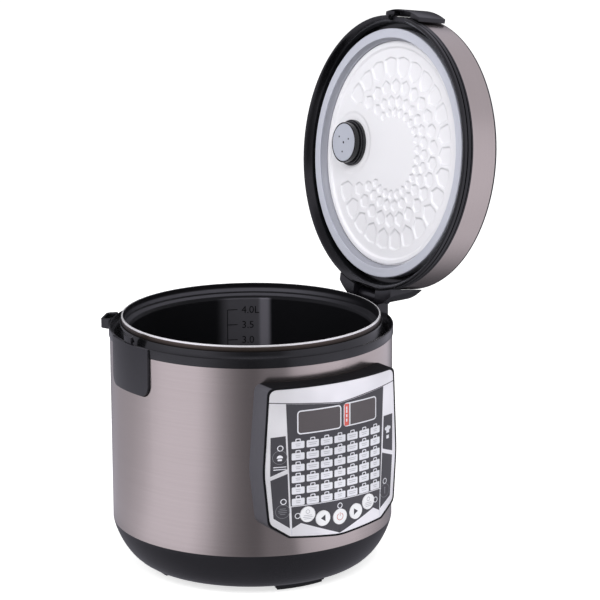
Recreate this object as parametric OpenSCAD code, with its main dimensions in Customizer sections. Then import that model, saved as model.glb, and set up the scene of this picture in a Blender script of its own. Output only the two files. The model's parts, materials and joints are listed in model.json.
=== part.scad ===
// Electric multicooker with a hinged lid, a lift-out pot and a front control panel.
// Millimetres. +Z is up, the origin is on the pot's axis at the plane of the feet.
// +X is the hinge side, -X the latch side, -Y the control panel, +Y the back.

/* [Body] */
// Outer radius of the steel wrap
body_r = 124; // [118:0.5:130]
// Thickness of the steel wrap
wrap_t = 0.8; // [0.6:0.1:1.5]
// How much taller the steel wrap is than the pot is deep
wrap_extra = 20.5; // [20:0.5:45]
// Height of the black base bowl
base_h = 37.3; // [30:0.5:45]
// How far the flat underside of the base bowl stops short of the wrap
base_flat_inset = 31.3; // [24:0.1:38]
// Wall of the base bowl
base_wall = 2.5; // [2:0.1:4]
// How far the feet stand below the base bowl
foot_drop = 5.2; // [4:0.1:8]
// Angle that one foot covers round the base
foot_span = 30; // [20:1:40]

/* [Top ring] */
// How far the ring's outer face stands out from the wrap
ring_proud = 0.8; // [0.4:0.1:1.5]
// Height of the ring's outer rim above the wrap
rim_h = 8.3; // [7:0.1:10]
// Thickness of the ring's outer rim
rim_t = 1.5; // [1.2:0.1:2]
// Height of the groove floor that the lid's edge drops into
groove_h = 2.5; // [1.5:0.1:3]
// Height of the ring's inner lip round the pot
inner_lip_h = 12; // [10:0.1:13]
// Length of the spoon loop along the ring
loop_len = 24; // [18:0.5:30]
// How far the spoon loop stands out from the ring
loop_out = 8.4; // [6:0.1:12]
// Where the spoon loop sits round the ring
loop_angle = 136.5; // [130:0.5:142]

/* [Inner pot] */
// Distance from the wrap's outer face in to the pot's bore
pot_inset = 18; // [17.5:0.1:22]
// Wall thickness of the pot
pot_t = 2; // [1.5:0.1:2.2]
// Depth of the pot below its rim
pot_depth = 145; // [120:1:150]
// Distance from the wrap's outer face in to the pot's rim
pot_rim_inset = 10.2; // [10:0.1:10.5]
// Height of the pot's rim above the wrap
pot_rim_h = 17.25; // [16.5:0.05:17.5]
// Depth of the pot's stepped flange below its rim
flange_depth = 9.25; // [9.25:0.05:9.6]
// Inner corner radius at the bottom of the pot
pot_corner = 18; // [10:0.5:25]

/* [Lid] */
// Height of the closed lid's front edge above the wrap
lid_seat = 3; // [2.8:0.05:3.3]
// Gap between the lid's front edge and the ring's rim
lid_gap = 0.5; // [0.3:0.05:0.8]
// How far the steel band round the lid stands in from the wrap
band_inset = 2.1; // [1.9:0.05:2.5]
// Depth of the black front frame before the steel band starts
frame_w = 9.9; // [9.5:0.1:11]
// Depth from the lid's front edge to the top of the steel band
band_w = 34.2; // [30:0.1:40]
// Rise of the black top cover above the band at its centre
dome_h = 5.8; // [4:0.1:9]
// Wall of the lid's mouldings
lid_wall = 1.8; // [1.5:0.1:2.2]
// Lean of the open lid past upright
lid_lean = 7.875; // [5:0.125:10]

/* [Hinge] */
// Distance of the hinge pin outside the wrap
hinge_out = 6.8; // [6:0.1:7.5]
// Height of the hinge pin above the wrap
hinge_h = 13.8; // [13.5:0.1:14.2]
// Radius of the hinge pin
pin_r = 2.5; // [2:0.1:3]
// Running clearance round the pin, on the radius
pin_fit = 0.05; // [0.02:0.01:0.1]
// Radius of the hinge lug round the pin
lug_r = 6; // [5:0.1:6.4]
// Half width of the hinge lug
lug_half = 15.8; // [12:0.1:17]
// Half width of the lid's hinge cover
cover_half = 40; // [36:0.5:42]
// How far the hinge cover reaches beyond the hinge pin
cover_out = 7.2; // [6.9:0.1:11]

/* [Latch] */
// Half width of the release tab
tab_half = 29.5; // [27:0.5:33]
// How far the release tab reaches below the wrap's top edge
tab_drop = 34.1; // [32:0.1:38]
// How far the release tab stands out from the wrap
tab_proud = 2.3; // [2:0.1:4]
// Thickness of the release tab
tab_t = 4.3; // [3.5:0.1:5]
// Corner radius at the foot of the release tab
tab_corner = 9; // [5:0.5:12]
// Half width of the latch hook
hook_half = 5.5; // [4.5:0.1:5.8]
// Half width of the lid's latch cover
hump_half = 25; // [20:0.5:28]
// How far the latch cover stands out from the lid's frame
hump_out = 5.9; // [5.2:0.1:8.2]

/* [Inner lid] */
// Depth of the gasket's sealing lip behind the lid's front edge
gasket_w = 5.3; // [5.2:0.05:5.6]
// Clearance between the gasket and the pot's rim
gasket_gap = 0.4; // [0.3:0.05:0.8]
// Width of the gasket's sealing lip
gasket_lip = 8.8; // [7.5:0.1:9.4]
// Depth of the inner plate's face behind the lid's front edge
plate_w = 13.3; // [12.5:0.1:13.4]
// Sheet thickness of the inner plate
plate_t = 1.2; // [1:0.05:1.3]
// Distance from the gasket's lip in to the edge of the inner plate
plate_inset = 2.3; // [2.2:0.1:4.6]
// Depth of the honeycomb pressed into the inner plate
cell_depth = 0.7; // [0.4:0.05:0.8]
// Cells that a full ring of the honeycomb would hold
cell_count = 26; // [20:2:30]
// Width of a cell as a share of its pitch
cell_fill = 0.79; // [0.6:0.01:0.85]
// Distance of the steam valve from the edge of the inner plate
valve_inset = 36.7; // [34:0.1:42]
// Radius of the steam valve's base
valve_r = 21; // [18:0.1:23]
// Radius of the steam valve's cap
valve_cap_r = 18.4; // [15:0.1:20]
// How far the steam valve stands out of the inner plate
valve_h = 10.2; // [8:0.1:12]

/* [Control panel] */
// Radius of the panel's curved face
panel_r = 173.3; // [165:0.1:190]
// How far the panel's face stands out from the wrap
panel_proud = 14.8; // [12:0.1:18]
// Half width of the bezel at its widest
bezel_half = 68.5; // [67:0.5:74]
// Height of the bezel from its top edge to its lower point
bezel_h = 136.4; // [132:0.1:140]
// Gap from the wrap's top edge down to the bezel
bezel_drop = 12.6; // [10:0.1:16]
// Wall of the bezel
bezel_wall = 2.4; // [2:0.1:3]
// Width of the bezel's edge round the overlay
bezel_edge = 1.5; // [1:0.1:2.5]
// Thickness of the overlay sheet
overlay_t = 0.8; // [0.6:0.1:1.2]
// Width of a display window
window_w = 39; // [34:0.5:42]
// Height of a display window
window_h = 20; // [16:0.5:21]
// Radius of a push button
button_r = 6.8; // [5:0.1:7.5]
// Travel of a push button
button_travel = 0.8; // [0.5:0.1:1.2]
// Clearance round a push button
button_gap = 0.4; // [0.3:0.05:0.6]

/* [Heating] */
// Gap between the heating plate's edge and the pot's bore
heater_inset = 18; // [14:0.5:26]
// Thickness of the heating plate
heater_t = 8; // [6:0.5:10]
// Distance from the heating plate's edge in to the element's coil
element_inset = 24; // [18:0.5:33]
// Radius of the temperature sensor's cap
sensor_r = 14; // [11:0.1:16]
// Travel of the temperature sensor
sensor_travel = 2; // [1.5:0.1:3]
// Gap between the inner liner and the wrap's outer face
liner_inset = 12; // [11:0.1:12.2]

/* [Hidden] */

$fn = 128;
eps = 0.01;
seat = 0.3;            // gap at a seat between two pieces
base_z = foot_drop;
wrap_z = base_z + base_h;
wrap_h = pot_depth + wrap_extra;
top_z = wrap_z + wrap_h;
wrap_in = body_r - wrap_t;
ring_r = body_r + ring_proud;
rim_in = ring_r - rim_t;
frame_r = rim_in - lid_gap;
base_flat_r = body_r - base_flat_inset;
pot_r = body_r - pot_inset;
pot_rim_r = body_r - pot_rim_inset;
band_r = body_r - band_inset;
liner_r = body_r - liner_inset;
hinge_x = body_r + hinge_out;
cover_reach = hinge_x + cover_out;
hump_reach = frame_r + hump_out;
hinge_z = top_z + hinge_h;
lid_z = top_z + lid_seat;
lid_open = 90 + lid_lean;
pot_in_rim = pot_rim_r - pot_t;
gasket_r = pot_in_rim - gasket_gap;
gasket_in_r = gasket_r - gasket_lip;
plate_r = gasket_in_r - plate_inset;
valve_y = plate_r - valve_inset;
heater_r = pot_r - heater_inset;
element_r = heater_r - element_inset;
pot_rim_z = top_z + pot_rim_h;
pot_floor_z = pot_rim_z - pot_depth;
pot_under_z = pot_floor_z - pot_t;
heater_top_z = pot_under_z - seat;
heater_z = heater_top_z - heater_t;
past = body_r + 60;    // beyond every piece, for cuts that run right through

// ---------- helpers ----------

// Points of a circular arc from angle a0 to a1
function arc(c, r, a0, a1, n) = [
  for (i = [0 : n])
    let (a = a0 + (a1 - a0) * i / n) c + r * [cos(a), sin(a)]
];

// One corner of an outline, rounded to radius r with n steps
function corner(a, b, c, r, n) =
  let (
    u = (a - b) / norm(a - b),
    v = (c - b) / norm(c - b),
    half = acos(max(-1, min(1, u * v))) / 2,
    back = r / tan(half),
    m = b + (u + v) / norm(u + v) * r / sin(half),
    p = b + u * back - m,
    q = b + v * back - m,
    a0 = atan2(p[1], p[0]),
    turn = atan2(p[0] * q[1] - p[1] * q[0], p * q)
  ) arc(m, r, a0, a0 + turn, n);

// An outline whose corners are rounded, each to its own radius
function rounded(pts, radii, n = 5) = [
  for (i = [0 : len(pts) - 1])
    let (k = len(pts))
      for (p = corner(pts[(i + k - 1) % k], pts[i], pts[(i + 1) % k], radii[i], n)) p
];

// A rounded rectangle centred on the origin
function rounded_box(w, h, r, n = 5) =
  rounded([[-w, -h] / 2, [w, -h] / 2, [w, h] / 2, [-w, h] / 2], [r, r, r, r], n);

// Points mirrored left to right, to close a symmetric outline
function mirrored(pts) = [for (i = [len(pts) - 1 : -1 : 0]) [-pts[i][0], pts[i][1]]];

module tube(r_in, r_out, z0, z1) {
  translate([0, 0, z0]) difference() {
    cylinder(r = r_out, h = z1 - z0);
    translate([0, 0, -1]) cylinder(r = r_in, h = z1 - z0 + 2);
  }
}

module disc(r, z0, z1) {
  translate([0, 0, z0]) cylinder(r = r, h = z1 - z0);
}

// A solid of revolution from points given as [radius, height]
module revolve(pts) {
  rotate_extrude() polygon(pts);
}

// A box given by its low and high corners
module block(lo, hi) {
  translate(lo) cube(hi - lo);
}

// A helical spring along +Z
module spring(r, wire, turns, length, sides = 6, per_turn = 14) {
  steps = turns * per_turn;
  points = [
    for (i = [0 : steps])
      let (a = 360 * i / per_turn, z = wire + (length - 2 * wire) * i / steps)
        for (k = [0 : sides - 1])
          let (b = 360 * k / sides, out = r + wire * cos(b))
            [out * cos(a), out * sin(a), z + wire * sin(b)]
  ];
  walls = [
    for (i = [0 : steps - 1])
      for (k = [0 : sides - 1])
        let (j = (k + 1) % sides)
          [(i + 1) * sides + k, (i + 1) * sides + j, i * sides + j, i * sides + k]
  ];
  first = [for (k = [sides - 1 : -1 : 0]) k];
  last = [for (k = [0 : sides - 1]) steps * sides + k];
  polyhedron(points = points, faces = concat([first], walls, [last]), convexity = 10);
}

// The lid is drawn closed and flat, then swung open about the hinge pin
module on_lid() {
  translate([hinge_x, 0, hinge_z]) rotate([0, lid_open, 0])
    translate([-hinge_x, 0, lid_z - hinge_z]) children();
}

// ---------- base ----------

// Radius of the base bowl at a share s of its height, measured down from the wrap
function bowl_r(s) = base_flat_r + (body_r - base_flat_r) * sqrt(1 - pow(s, 1.28));
bowl_steps = 14;
bowl_outer = [for (i = [0 : bowl_steps]) let (s = i / bowl_steps) [bowl_r(s), wrap_z - base_h * s]];
bowl_inner = [for (i = [bowl_steps : -1 : 0]) let (s = i / bowl_steps, z = wrap_z - (base_h - base_wall) * s)
    [bowl_r(s) - base_wall, z]];
vent_count = 24;
vent_w = 3;
vent_out_r = base_flat_r - 26.7;
vent_in_r = vent_out_r - 26;
post_r = 5;
foot_out_r = base_flat_r - 0.7;
foot_in_r = foot_out_r - 7;
foot_angles = [-95, 167, 85, -13];
pad_h = 2;
inlet_w = 30;
inlet_h = 22;
inlet_z = base_z + 24;
inlet_y = body_r - 24;
inlet_front_y = body_r - 11;
post_at = base_flat_r - 14.7;
screw_head_r = 4;
screw_r = 1.6;
screw_len = 12;

module ring_sector(r_in, r_out, z0, z1, span) {
  translate([0, 0, z0]) rotate([0, 0, -span / 2]) rotate_extrude(angle = span)
    translate([r_in, 0]) square([r_out - r_in, z1 - z0]);
}

module base_housing() {
  shell = concat(
    [[0, base_z]],
    [for (i = [bowl_steps : -1 : 0]) bowl_outer[i]],
    [for (i = [bowl_steps : -1 : 0]) bowl_inner[i]],
    [[0, base_z + base_wall]]
  );
  color([0.13, 0.13, 0.14]) difference() {
    union() {
      revolve(shell);
      for (a = [45 : 90 : 315])
        rotate([0, 0, a]) translate([post_at, 0, 0]) disc(post_r, base_z + 1, floor_z - floor_t);
    }
    for (i = [0 : vent_count - 1])
      rotate([0, 0, 360 * (i + 0.5) / vent_count])
        block([vent_in_r, -vent_w / 2, base_z - 1], [vent_out_r, vent_w / 2, base_z + base_wall + 1]);
    for (a = [45 : 90 : 315])
      rotate([0, 0, a]) translate([post_at, 0, 0]) {
        disc(screw_head_r + seat, base_z - 1, base_z + base_wall);
        disc(screw_r + 0.1, base_z, base_z + base_wall + screw_len + 1);
      }
    translate([0, 0, inlet_z])
      block([-inlet_w / 2, inlet_y / 2, -inlet_h / 2], [inlet_w / 2, past, inlet_h / 2]);
  }
}

module foot_blocks() {
  color([0.15, 0.15, 0.16]) for (a = foot_angles)
    rotate([0, 0, a]) ring_sector(foot_in_r, foot_out_r, pad_h, base_z - eps, foot_span);
}

module foot_pads() {
  color([0.2, 0.2, 0.2]) for (a = foot_angles)
    rotate([0, 0, a]) ring_sector(foot_in_r + 1, foot_out_r - 1, 0, pad_h, foot_span - 2);
}

module base_screws() {
  color("silver") for (a = [45 : 90 : 315])
    rotate([0, 0, a]) translate([post_at, 0, 0]) difference() {
      union() {
        disc(screw_head_r, base_z + 0.4, base_z + base_wall - 0.1);
        disc(screw_r, base_z + base_wall - 0.1, base_z + base_wall + screw_len);
      }
      block([-2.4, -0.5, 0], [2.4, 0.5, base_z + 1]);
      block([-0.5, -2.4, 0], [0.5, 2.4, base_z + 1]);
    }
}

module power_inlet() {
  w = inlet_w - 2 * seat;
  h = inlet_h - 2 * seat;
  color([0.1, 0.1, 0.1]) translate([0, 0, inlet_z]) difference() {
    union() {
      block([-w / 2, inlet_y - 12, -h / 2], [w / 2, inlet_front_y, h / 2]);
      block([-w / 2 - 5, inlet_y - 6, -h / 2], [w / 2 + 5, inlet_y - 3, h / 2]);
    }
    translate([0, inlet_front_y + 1, 0]) rotate([90, 0, 0]) linear_extrude(16)
      polygon(rounded([[-11, -7], [11, -7], [11, 4], [8, 7], [-8, 7], [-11, 4]], [1.5, 1.5, 1, 1, 1, 1]));
  }
  color("silver") for (p = [[-6, -1.5], [6, -1.5], [0, 2.5]])
    translate([p[0], 0, inlet_z + p[1]]) block([-0.75, inlet_y - 16, -1.8], [0.75, inlet_front_y - 8, 1.8]);
}

board_z = base_z + base_wall + 8;

module power_board() {
  color([0.72, 0.6, 0.35]) block([-38, -30, board_z], [38, 30, board_z + 1.6]);
  color([0.15, 0.15, 0.15]) block([-30, -18, board_z + 1.6], [-8, 2, board_z + 14]);
  color([0.2, 0.3, 0.6]) block([2, -20, board_z + 1.6], [20, -8, board_z + 12]);
  color([0.8, 0.3, 0.1]) translate([20, 12, 0]) disc(5, board_z + 1.6, board_z + 16);
  color([0.8, 0.8, 0.8]) for (x = [-32, 32]) for (y = [-24, 24])
    translate([x, y, 0]) disc(3, base_z + base_wall, board_z);
}

// ---------- body ----------

tab_bottom_z = top_z - tab_drop;
tab_gap = 0.5;
tab_foot_gap = 1;
hinge_screw_angles = [-11, 11];
hinge_screw_z = top_z - 13;

module hinge_screw_holes(depth) {
  for (a = hinge_screw_angles)
    rotate([0, 0, a]) translate([wrap_in - 5, 0, hinge_screw_z]) rotate([0, 90, 0])
      cylinder(r = screw_r + 0.1, h = depth);
}

// The release tab's outline run through the wall, grown by a gap
module tab_prism(gap) {
  w = tab_half + gap;
  foot = tab_drop + (gap > 0 ? tab_foot_gap : 0);
  r = tab_corner + gap;
  translate([-pot_r, 0, top_z]) rotate([90, 0, -90]) linear_extrude(past - pot_r)
    polygon(rounded([[-w, -foot], [w, -foot], [w, gap], [-w, gap]], [r, r, 0.1 + gap, 0.1 + gap]));
}
panel_cy = panel_r - body_r - panel_proud;
panel_back = body_r - 24;
skin_depth = 60;
bezel_top_z = top_z - bezel_drop;
// Half of the bezel's outline, from its lower point up to the top edge
bezel_right = [[0, -bezel_h], [bezel_half - 20.8, 4.6 - bezel_h], [bezel_half - 4, 16.5 - bezel_h],
  [bezel_half, 62 - bezel_h], [bezel_half - 4.5, 0]];
bezel_line = concat(bezel_right, [for (i = [4 : -1 : 1]) [-bezel_right[i][0], bezel_right[i][1]]]);
bezel_radii = [60, 4, 8, 90, 6, 6, 90, 8, 4];

// Draws an outline given in the panel's plane: x across, z up from the bezel's top edge
module on_panel(y0, y1) {
  translate([0, -y0, bezel_top_z]) rotate([90, 0, 0]) linear_extrude(y1 - y0) children();
}

module panel_skin(outer, inner) {
  intersection() {
    children();
    translate([0, panel_cy, 0]) tube(inner, outer, bezel_top_z - bezel_h - 5, bezel_top_z + 5);
  }
}

module bezel_outline(inset) {
  k = (bezel_half - inset) / bezel_half;
  kz = (bezel_h - 2 * inset) / bezel_h;
  translate([0, -inset]) scale([k, kz]) polygon(rounded(bezel_line, bezel_radii, 4));
}

module body_wrap() {
  color([0.62, 0.58, 0.57]) difference() {
    tube(wrap_in, body_r, wrap_z, top_z);
    intersection() {
      on_panel(panel_back, past) bezel_outline(bezel_wall + 2);
      disc(body_r + 1, 0, top_z);
    }
    tab_prism(tab_gap);
    hinge_screw_holes(past);
  }
}

land_r = 15.5;         // sweep of the lid's inner edge about the hinge pin, with clearance
function land(h, sweep) = hinge_x - sqrt(pow(sweep, 2) - pow(hinge_h - h, 2));
skirt_h = 8;
skirt_r = wrap_in - seat;
ring_cut_r = body_r - 5.2;
ledge_r = pot_r + pot_t + 1.2;
flange_h = pot_rim_h - flange_depth - pot_t;
ring_lip_r = pot_rim_r + 0.5;
land_steps = 6;
ring_profile = concat(
  [[skirt_r - 1.8, -skirt_h], [skirt_r, -skirt_h], [skirt_r, 0]],
  [[body_r - 0.1, 0], [body_r - 0.1, 0.8], [ring_r, 0.8]],
  [[ring_r, rim_h - 0.5], [ring_r - 0.5, rim_h], [rim_in, rim_h], [rim_in, groove_h]],
  [
    for (i = [0 : land_steps])
      let (h = groove_h + (inner_lip_h - groove_h) * i / land_steps)
        [land(h, land_r), h]
  ],
  [[ring_lip_r, inner_lip_h], [ring_lip_r, flange_h - 0.5], [ledge_r, flange_h - 2.3], [ledge_r, -9]],
  [[ledge_r + 1.8, -9], [ledge_r + 1.8, 0.3], [skirt_r - 1.8, 0.3]]
);

module top_ring() {
  color([0.14, 0.14, 0.15]) difference() {
    translate([0, 0, top_z]) revolve(ring_profile);
    difference() {
      block([0, -cover_half - 1.5, top_z + groove_h], [past, cover_half + 1.5, top_z + rim_h + 1]);
      disc(rim_in - 1, top_z, top_z + rim_h + 2);
    }
    difference() {
      tab_prism(tab_gap);
      disc(ring_cut_r, 0, top_z + 5);
    }
    block([-past, -tab_half - tab_gap, top_z - 0.5], [-ring_cut_r, tab_half + tab_gap, top_z + rim_h + 1]);
  }
}

loop_hole = [17, 7];
loop_half = loop_len / 2;
loop_near = [[-2, -loop_half - 3], [1, -loop_half - 3], [loop_out, -loop_half]];
loop_far = [[loop_out, loop_half], [1, loop_half + 3], [-2, loop_half + 3]];
loop_line = concat(loop_near, loop_far);
loop_radii = [0.2, 2, 5, 5, 2, 0.2];
loop_h = 8;
loop_top_z = top_z + rim_h + 0.8;

module spoon_loop() {
  color([0.3, 0.3, 0.32]) rotate([0, 0, loop_angle]) difference() {
    translate([ring_r, 0, loop_top_z - loop_h]) linear_extrude(loop_h)
      polygon(rounded(loop_line, loop_radii));
    translate([ring_r - 0.6, 0, top_z]) linear_extrude(past)
      translate([loop_hole[1] / 2, 0]) polygon(rounded_box(loop_hole[1], loop_hole[0], 2.4));
    disc(ring_r, 0, past + top_z);
  }
}

housing_half = cover_half - 4;
housing_drop = 18;
housing_r = 60;
housing_top = groove_h - 1.2;

module hinge_housing() {
  color([0.13, 0.13, 0.14]) difference() {
    union() {
      intersection() {
        translate([cover_reach - 2 - housing_r, 0, 0])
          disc(housing_r, top_z - housing_drop, top_z + housing_top);
        block([pot_r, -housing_half, 0], [past, housing_half, top_z + rim_h]);
      }
      translate([hinge_x, lug_half, hinge_z]) rotate([90, 0, 0]) cylinder(r = lug_r, h = 2 * lug_half);
      block([hinge_x - lug_r, -lug_half, top_z], [hinge_x + lug_r - 0.8, lug_half, hinge_z]);
    }
    disc(ring_r, 0, hinge_z + lug_r + 1);
    translate([hinge_x, past, hinge_z]) rotate([90, 0, 0]) cylinder(r = pin_r + 0.02, h = 2 * past);
    hinge_screw_holes(12);
  }
}

pin_half = cover_half - 6;

module hinge_pin() {
  color("silver") translate([hinge_x, pin_half, hinge_z]) rotate([90, 0, 0])
    cylinder(r = pin_r, h = 2 * pin_half);
}

module hinge_screws() {
  color("silver") for (a = hinge_screw_angles)
    rotate([0, 0, a]) translate([0, 0, hinge_screw_z]) rotate([0, 90, 0]) {
      translate([0, 0, wrap_in - 2.6]) cylinder(r = 3, h = 2.2);
      translate([0, 0, wrap_in - 1]) cylinder(r = screw_r, h = 6);
    }
}

liner_t = 0.8;
floor_t = 1.2;
floor_z = heater_z - 18;
heater_post_r = 5;
element_tube = 4;

module inner_liner() {
  color([0.75, 0.75, 0.76]) tube(liner_r - liner_t, liner_r, floor_z, top_z - 0.1);
}

module liner_floor() {
  color([0.72, 0.72, 0.73]) difference() {
    disc(liner_r + 2, floor_z - floor_t, floor_z);
    disc(sensor_r + 2, floor_z - 3, floor_z + 1);
  }
}

module side_heater() {
  color([0.8, 0.75, 0.55]) tube(liner_r + 0.1, liner_r + 1.6, pot_floor_z + 30, pot_floor_z + 62);
}

module heater_posts() {
  color([0.7, 0.7, 0.7]) for (a = [30 : 120 : 270])
    rotate([0, 0, a]) translate([element_r - 20, 0, 0]) disc(heater_post_r, floor_z, heater_z);
}

module heating_plate() {
  hole_r = sensor_r + 3;
  under = [[hole_r, heater_z], [heater_r - 6, heater_z], [heater_r, heater_z + 3]];
  face = [[heater_r, heater_top_z - 0.6], [heater_r - 0.6, heater_top_z], [hole_r, heater_top_z]];
  color([0.78, 0.78, 0.79]) difference() {
    revolve(concat(under, face));
    translate([0, 0, heater_top_z - 0.4]) for (r = [30 : 12 : heater_r - 10]) tube(r, r + 1.2, 0, 1);
  }
}

module heating_element() {
  color([0.55, 0.55, 0.57]) {
    translate([0, 0, heater_z - element_tube - 0.1]) rotate([0, 0, 20]) rotate_extrude(angle = 320)
      translate([element_r, 0]) circle(r = element_tube);
    for (a = [20, 340])
      rotate([0, 0, a]) translate([element_r, 0, 0]) disc(2.5, floor_z + 2, heater_z - element_tube);
  }
}

sensor_top_z = pot_under_z - seat;
holder_z = floor_z - 6;

module sensor_holder() {
  color([0.85, 0.85, 0.8]) difference() {
    union() {
      disc(sensor_r + 1.5, floor_z - 8, floor_z + 6);
      disc(sensor_r + 5, floor_z, floor_z + 1.5);
    }
    disc(sensor_r - 0.8, holder_z, floor_z + 20);
  }
}

module sensor_spring() {
  color("silver") translate([0, 0, holder_z]) spring(8, 0.7, 5, sensor_top_z - 2 - holder_z);
}

module sensor_cap() {
  color([0.8, 0.8, 0.82]) difference() {
    union() {
      disc(sensor_r, sensor_top_z - 3, sensor_top_z);
      disc(sensor_r - 2, floor_z + 4, sensor_top_z - 3);
    }
    disc(sensor_r - 3.5, 0, sensor_top_z - 1.8);
  }
}

module thermal_fuse() {
  x = 12 - element_r;
  color([0.9, 0.88, 0.8]) translate([x, 12, floor_z + 3.2]) rotate([90, 0, 0]) cylinder(r = 3, h = 24);
  color("silver") translate([x, 0, floor_z]) block([-2, -4, 0], [2, 4, 1]);
}

// ---------- control panel ----------

window_r = 3;
mode_window_x = -19.2;
time_window_x = 22;
window_top = 21;

// Spots on the panel, given as x and the height above the bezel's lower point
function low(pts) = [for (p = pts) [p[0], p[1] - bezel_h]];
button_spots = low([[-31, 23.8], [-16.8, 18.3], [0, 16.9], [16.8, 18.3], [31, 23.8]]);
lamp_spots = low([[-54.3, 84.1], [-51.9, 37.1], [-39.8, 23.4], [0, 26.6], [39.8, 23.4], [51.9, 37.1]]);
lamp_r = 1.6;

stem_r = 3.5;
button_proud = 0.3;
board_y = -body_r - 4;
board_half = bezel_half - 22.5;
board_low_z = bezel_top_z + 14.4 - bezel_h;
switch_y = board_y - 2.5;

// Turns a child drawn at the panel's apex round to the panel's face at x, z
module at_face(p, inset = 0) {
  a = asin(p[0] / panel_r);
  translate([0, panel_cy, bezel_top_z + p[1]]) rotate([0, 0, a])
    translate([0, -panel_r + inset, 0]) rotate([90, 0, 0]) children();
}

module window_outline(gap) {
  polygon(rounded_box(window_w - 2 * gap, window_h - 2 * gap, window_r));
}

module panel_holes(gap) {
  for (x = [mode_window_x, time_window_x])
    translate([x, -window_top - window_h / 2]) window_outline(gap);
}

module panel_bezel() {
  color([0.14, 0.14, 0.15]) difference() {
    union() {
      difference() {
        panel_skin(panel_r + 0.3, panel_r - skin_depth) on_panel(panel_back, past) bezel_outline(0);
        disc(body_r, 0, top_z + 10);
        panel_skin(panel_r - overlay_t - bezel_wall, panel_r - skin_depth - 10)
          on_panel(panel_back - 10, past) bezel_outline(bezel_wall);
      }
      for (x = [-40, 40]) for (z = [-24, 36.4 - bezel_h])
        translate([x, board_y, bezel_top_z + z]) rotate([90, 0, 0]) cylinder(r = 2.5, h = 4.5);
    }
    panel_skin(panel_r + 5, panel_r - overlay_t) on_panel(panel_back, past) bezel_outline(bezel_edge);
    panel_skin(panel_r + 5, panel_r - 20) on_panel(panel_back, past) panel_holes(1.5);
    for (p = button_spots) {
      at_face(p, 8) cylinder(r = stem_r + button_gap, h = 12);
      at_face(p, overlay_t + button_travel + seat) cylinder(r = button_r + button_gap, h = 12);
    }
    for (p = lamp_spots)
      at_face(p, 8) cylinder(r = lamp_r + 0.2, h = 12);
  }
}

module panel_overlay() {
  color([0.86, 0.86, 0.88]) difference() {
    panel_skin(panel_r, panel_r - overlay_t + 0.02)
      on_panel(panel_back, past) bezel_outline(bezel_edge + 0.2);
    panel_skin(panel_r + 5, panel_r - 20) on_panel(panel_back, past) panel_holes(0);
    for (p = button_spots)
      at_face(p, 8) cylinder(r = button_r + button_gap, h = 12);
    for (p = lamp_spots)
      at_face(p, 8) cylinder(r = lamp_r + 0.2, h = 12);
  }
}

module panel_window(x) {
  color([0.06, 0.06, 0.08]) panel_skin(panel_r - 0.1, panel_r - overlay_t + 0.02)
    on_panel(panel_back, past) translate([x, -window_top - window_h / 2]) window_outline(0.1);
}

module mode_window() panel_window(mode_window_x);

module time_window() panel_window(time_window_x);

module display_module() {
  w = window_w / 2 - 3;
  h = window_h / 2 - 3;
  color([0.9, 0.9, 0.92]) for (x = [mode_window_x, time_window_x])
    translate([x, 0, bezel_top_z - window_top - window_h / 2])
      block([-w, board_y - 4, -h], [w, board_y, h]);
}

module control_board() {
  color([0.1, 0.35, 0.2])
    block([-board_half, board_y, board_low_z], [board_half, board_y + 1.6, bezel_top_z - 16]);
  color([0.15, 0.15, 0.15]) block([-8, board_y + 1.6, bezel_top_z - 80], [8, board_y + 3, bezel_top_z - 64]);
  color([0.3, 0.3, 0.3]) for (p = button_spots)
    translate([p[0], 0, bezel_top_z + p[1]]) block([-3, switch_y, -3], [3, board_y, 3]);
}

module indicator_lights() {
  color([0.9, 0.9, 0.9]) for (p = lamp_spots)
    at_face(p, 4) cylinder(r = lamp_r, h = 3.9);
}

module button(i) {
  p = button_spots[i];
  lean = asin(p[0] / panel_r);
  room = button_travel + seat + stem_r * abs(sin(lean));
  reach = (switch_y - room - panel_cy + panel_r * cos(lean)) / cos(lean);
  color([0.2, 0.2, 0.22]) {
    at_face(p, overlay_t) cylinder(r = button_r, h = overlay_t + button_proud);
    at_face(p, reach) cylinder(r = stem_r, h = reach - overlay_t / 2);
  }
}

module button_back() button(0);
module button_minus() button(1);
module button_power() button(2);
module button_plus() button(3);
module button_start() button(4);

// ---------- latch on the body ----------

latch_x = body_r - 6.2;
latch_z = top_z - 9;
latch_pin_r = 1.5;
lug_t = 4;
lug_y = 6;
ear_r = 3;
bracket_x = latch_x - ear_r - 0.4;
bracket_t = bracket_x - liner_r - 0.6;
bracket_half = 24;
ear_y = lug_y + lug_t + 0.4;
ear_t = 3;
spring_z = latch_z - 15;
tab_in = body_r + tab_proud - tab_t;
hook_in_x = frame_r - 0.2;
hook_t = 2.4;
hook_foot_z = top_z - 5;
snug = [0.1, 0.1, 0.1];
hook_top_z = lid_z + 11;
barb_z = lid_z + 6.3;
barb_reach = 1.6;

module latch_bracket() {
  color([0.6, 0.6, 0.62]) difference() {
    union() {
      block([-bracket_x, -bracket_half, spring_z - 6], [-bracket_x + bracket_t, bracket_half, top_z]);
      for (y = [-ear_y - ear_t, ear_y])
        block([-latch_x - ear_r, y, latch_z - ear_r], [-bracket_x + 1, y + ear_t, latch_z + ear_r]);
    }
    translate([-latch_x, past, latch_z]) rotate([90, 0, 0]) cylinder(r = latch_pin_r + 0.02, h = 2 * past);
  }
}

module latch_pin() {
  color("silver") translate([-latch_x, ear_y + ear_t, latch_z]) rotate([90, 0, 0])
    cylinder(r = latch_pin_r, h = 2 * (ear_y + ear_t));
}

module latch_spring() {
  color("silver") translate([-bracket_x, 0, spring_z]) rotate([0, -90, 0])
    spring(3, 0.4, 4, tab_in - bracket_x - 0.1);
}

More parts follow.
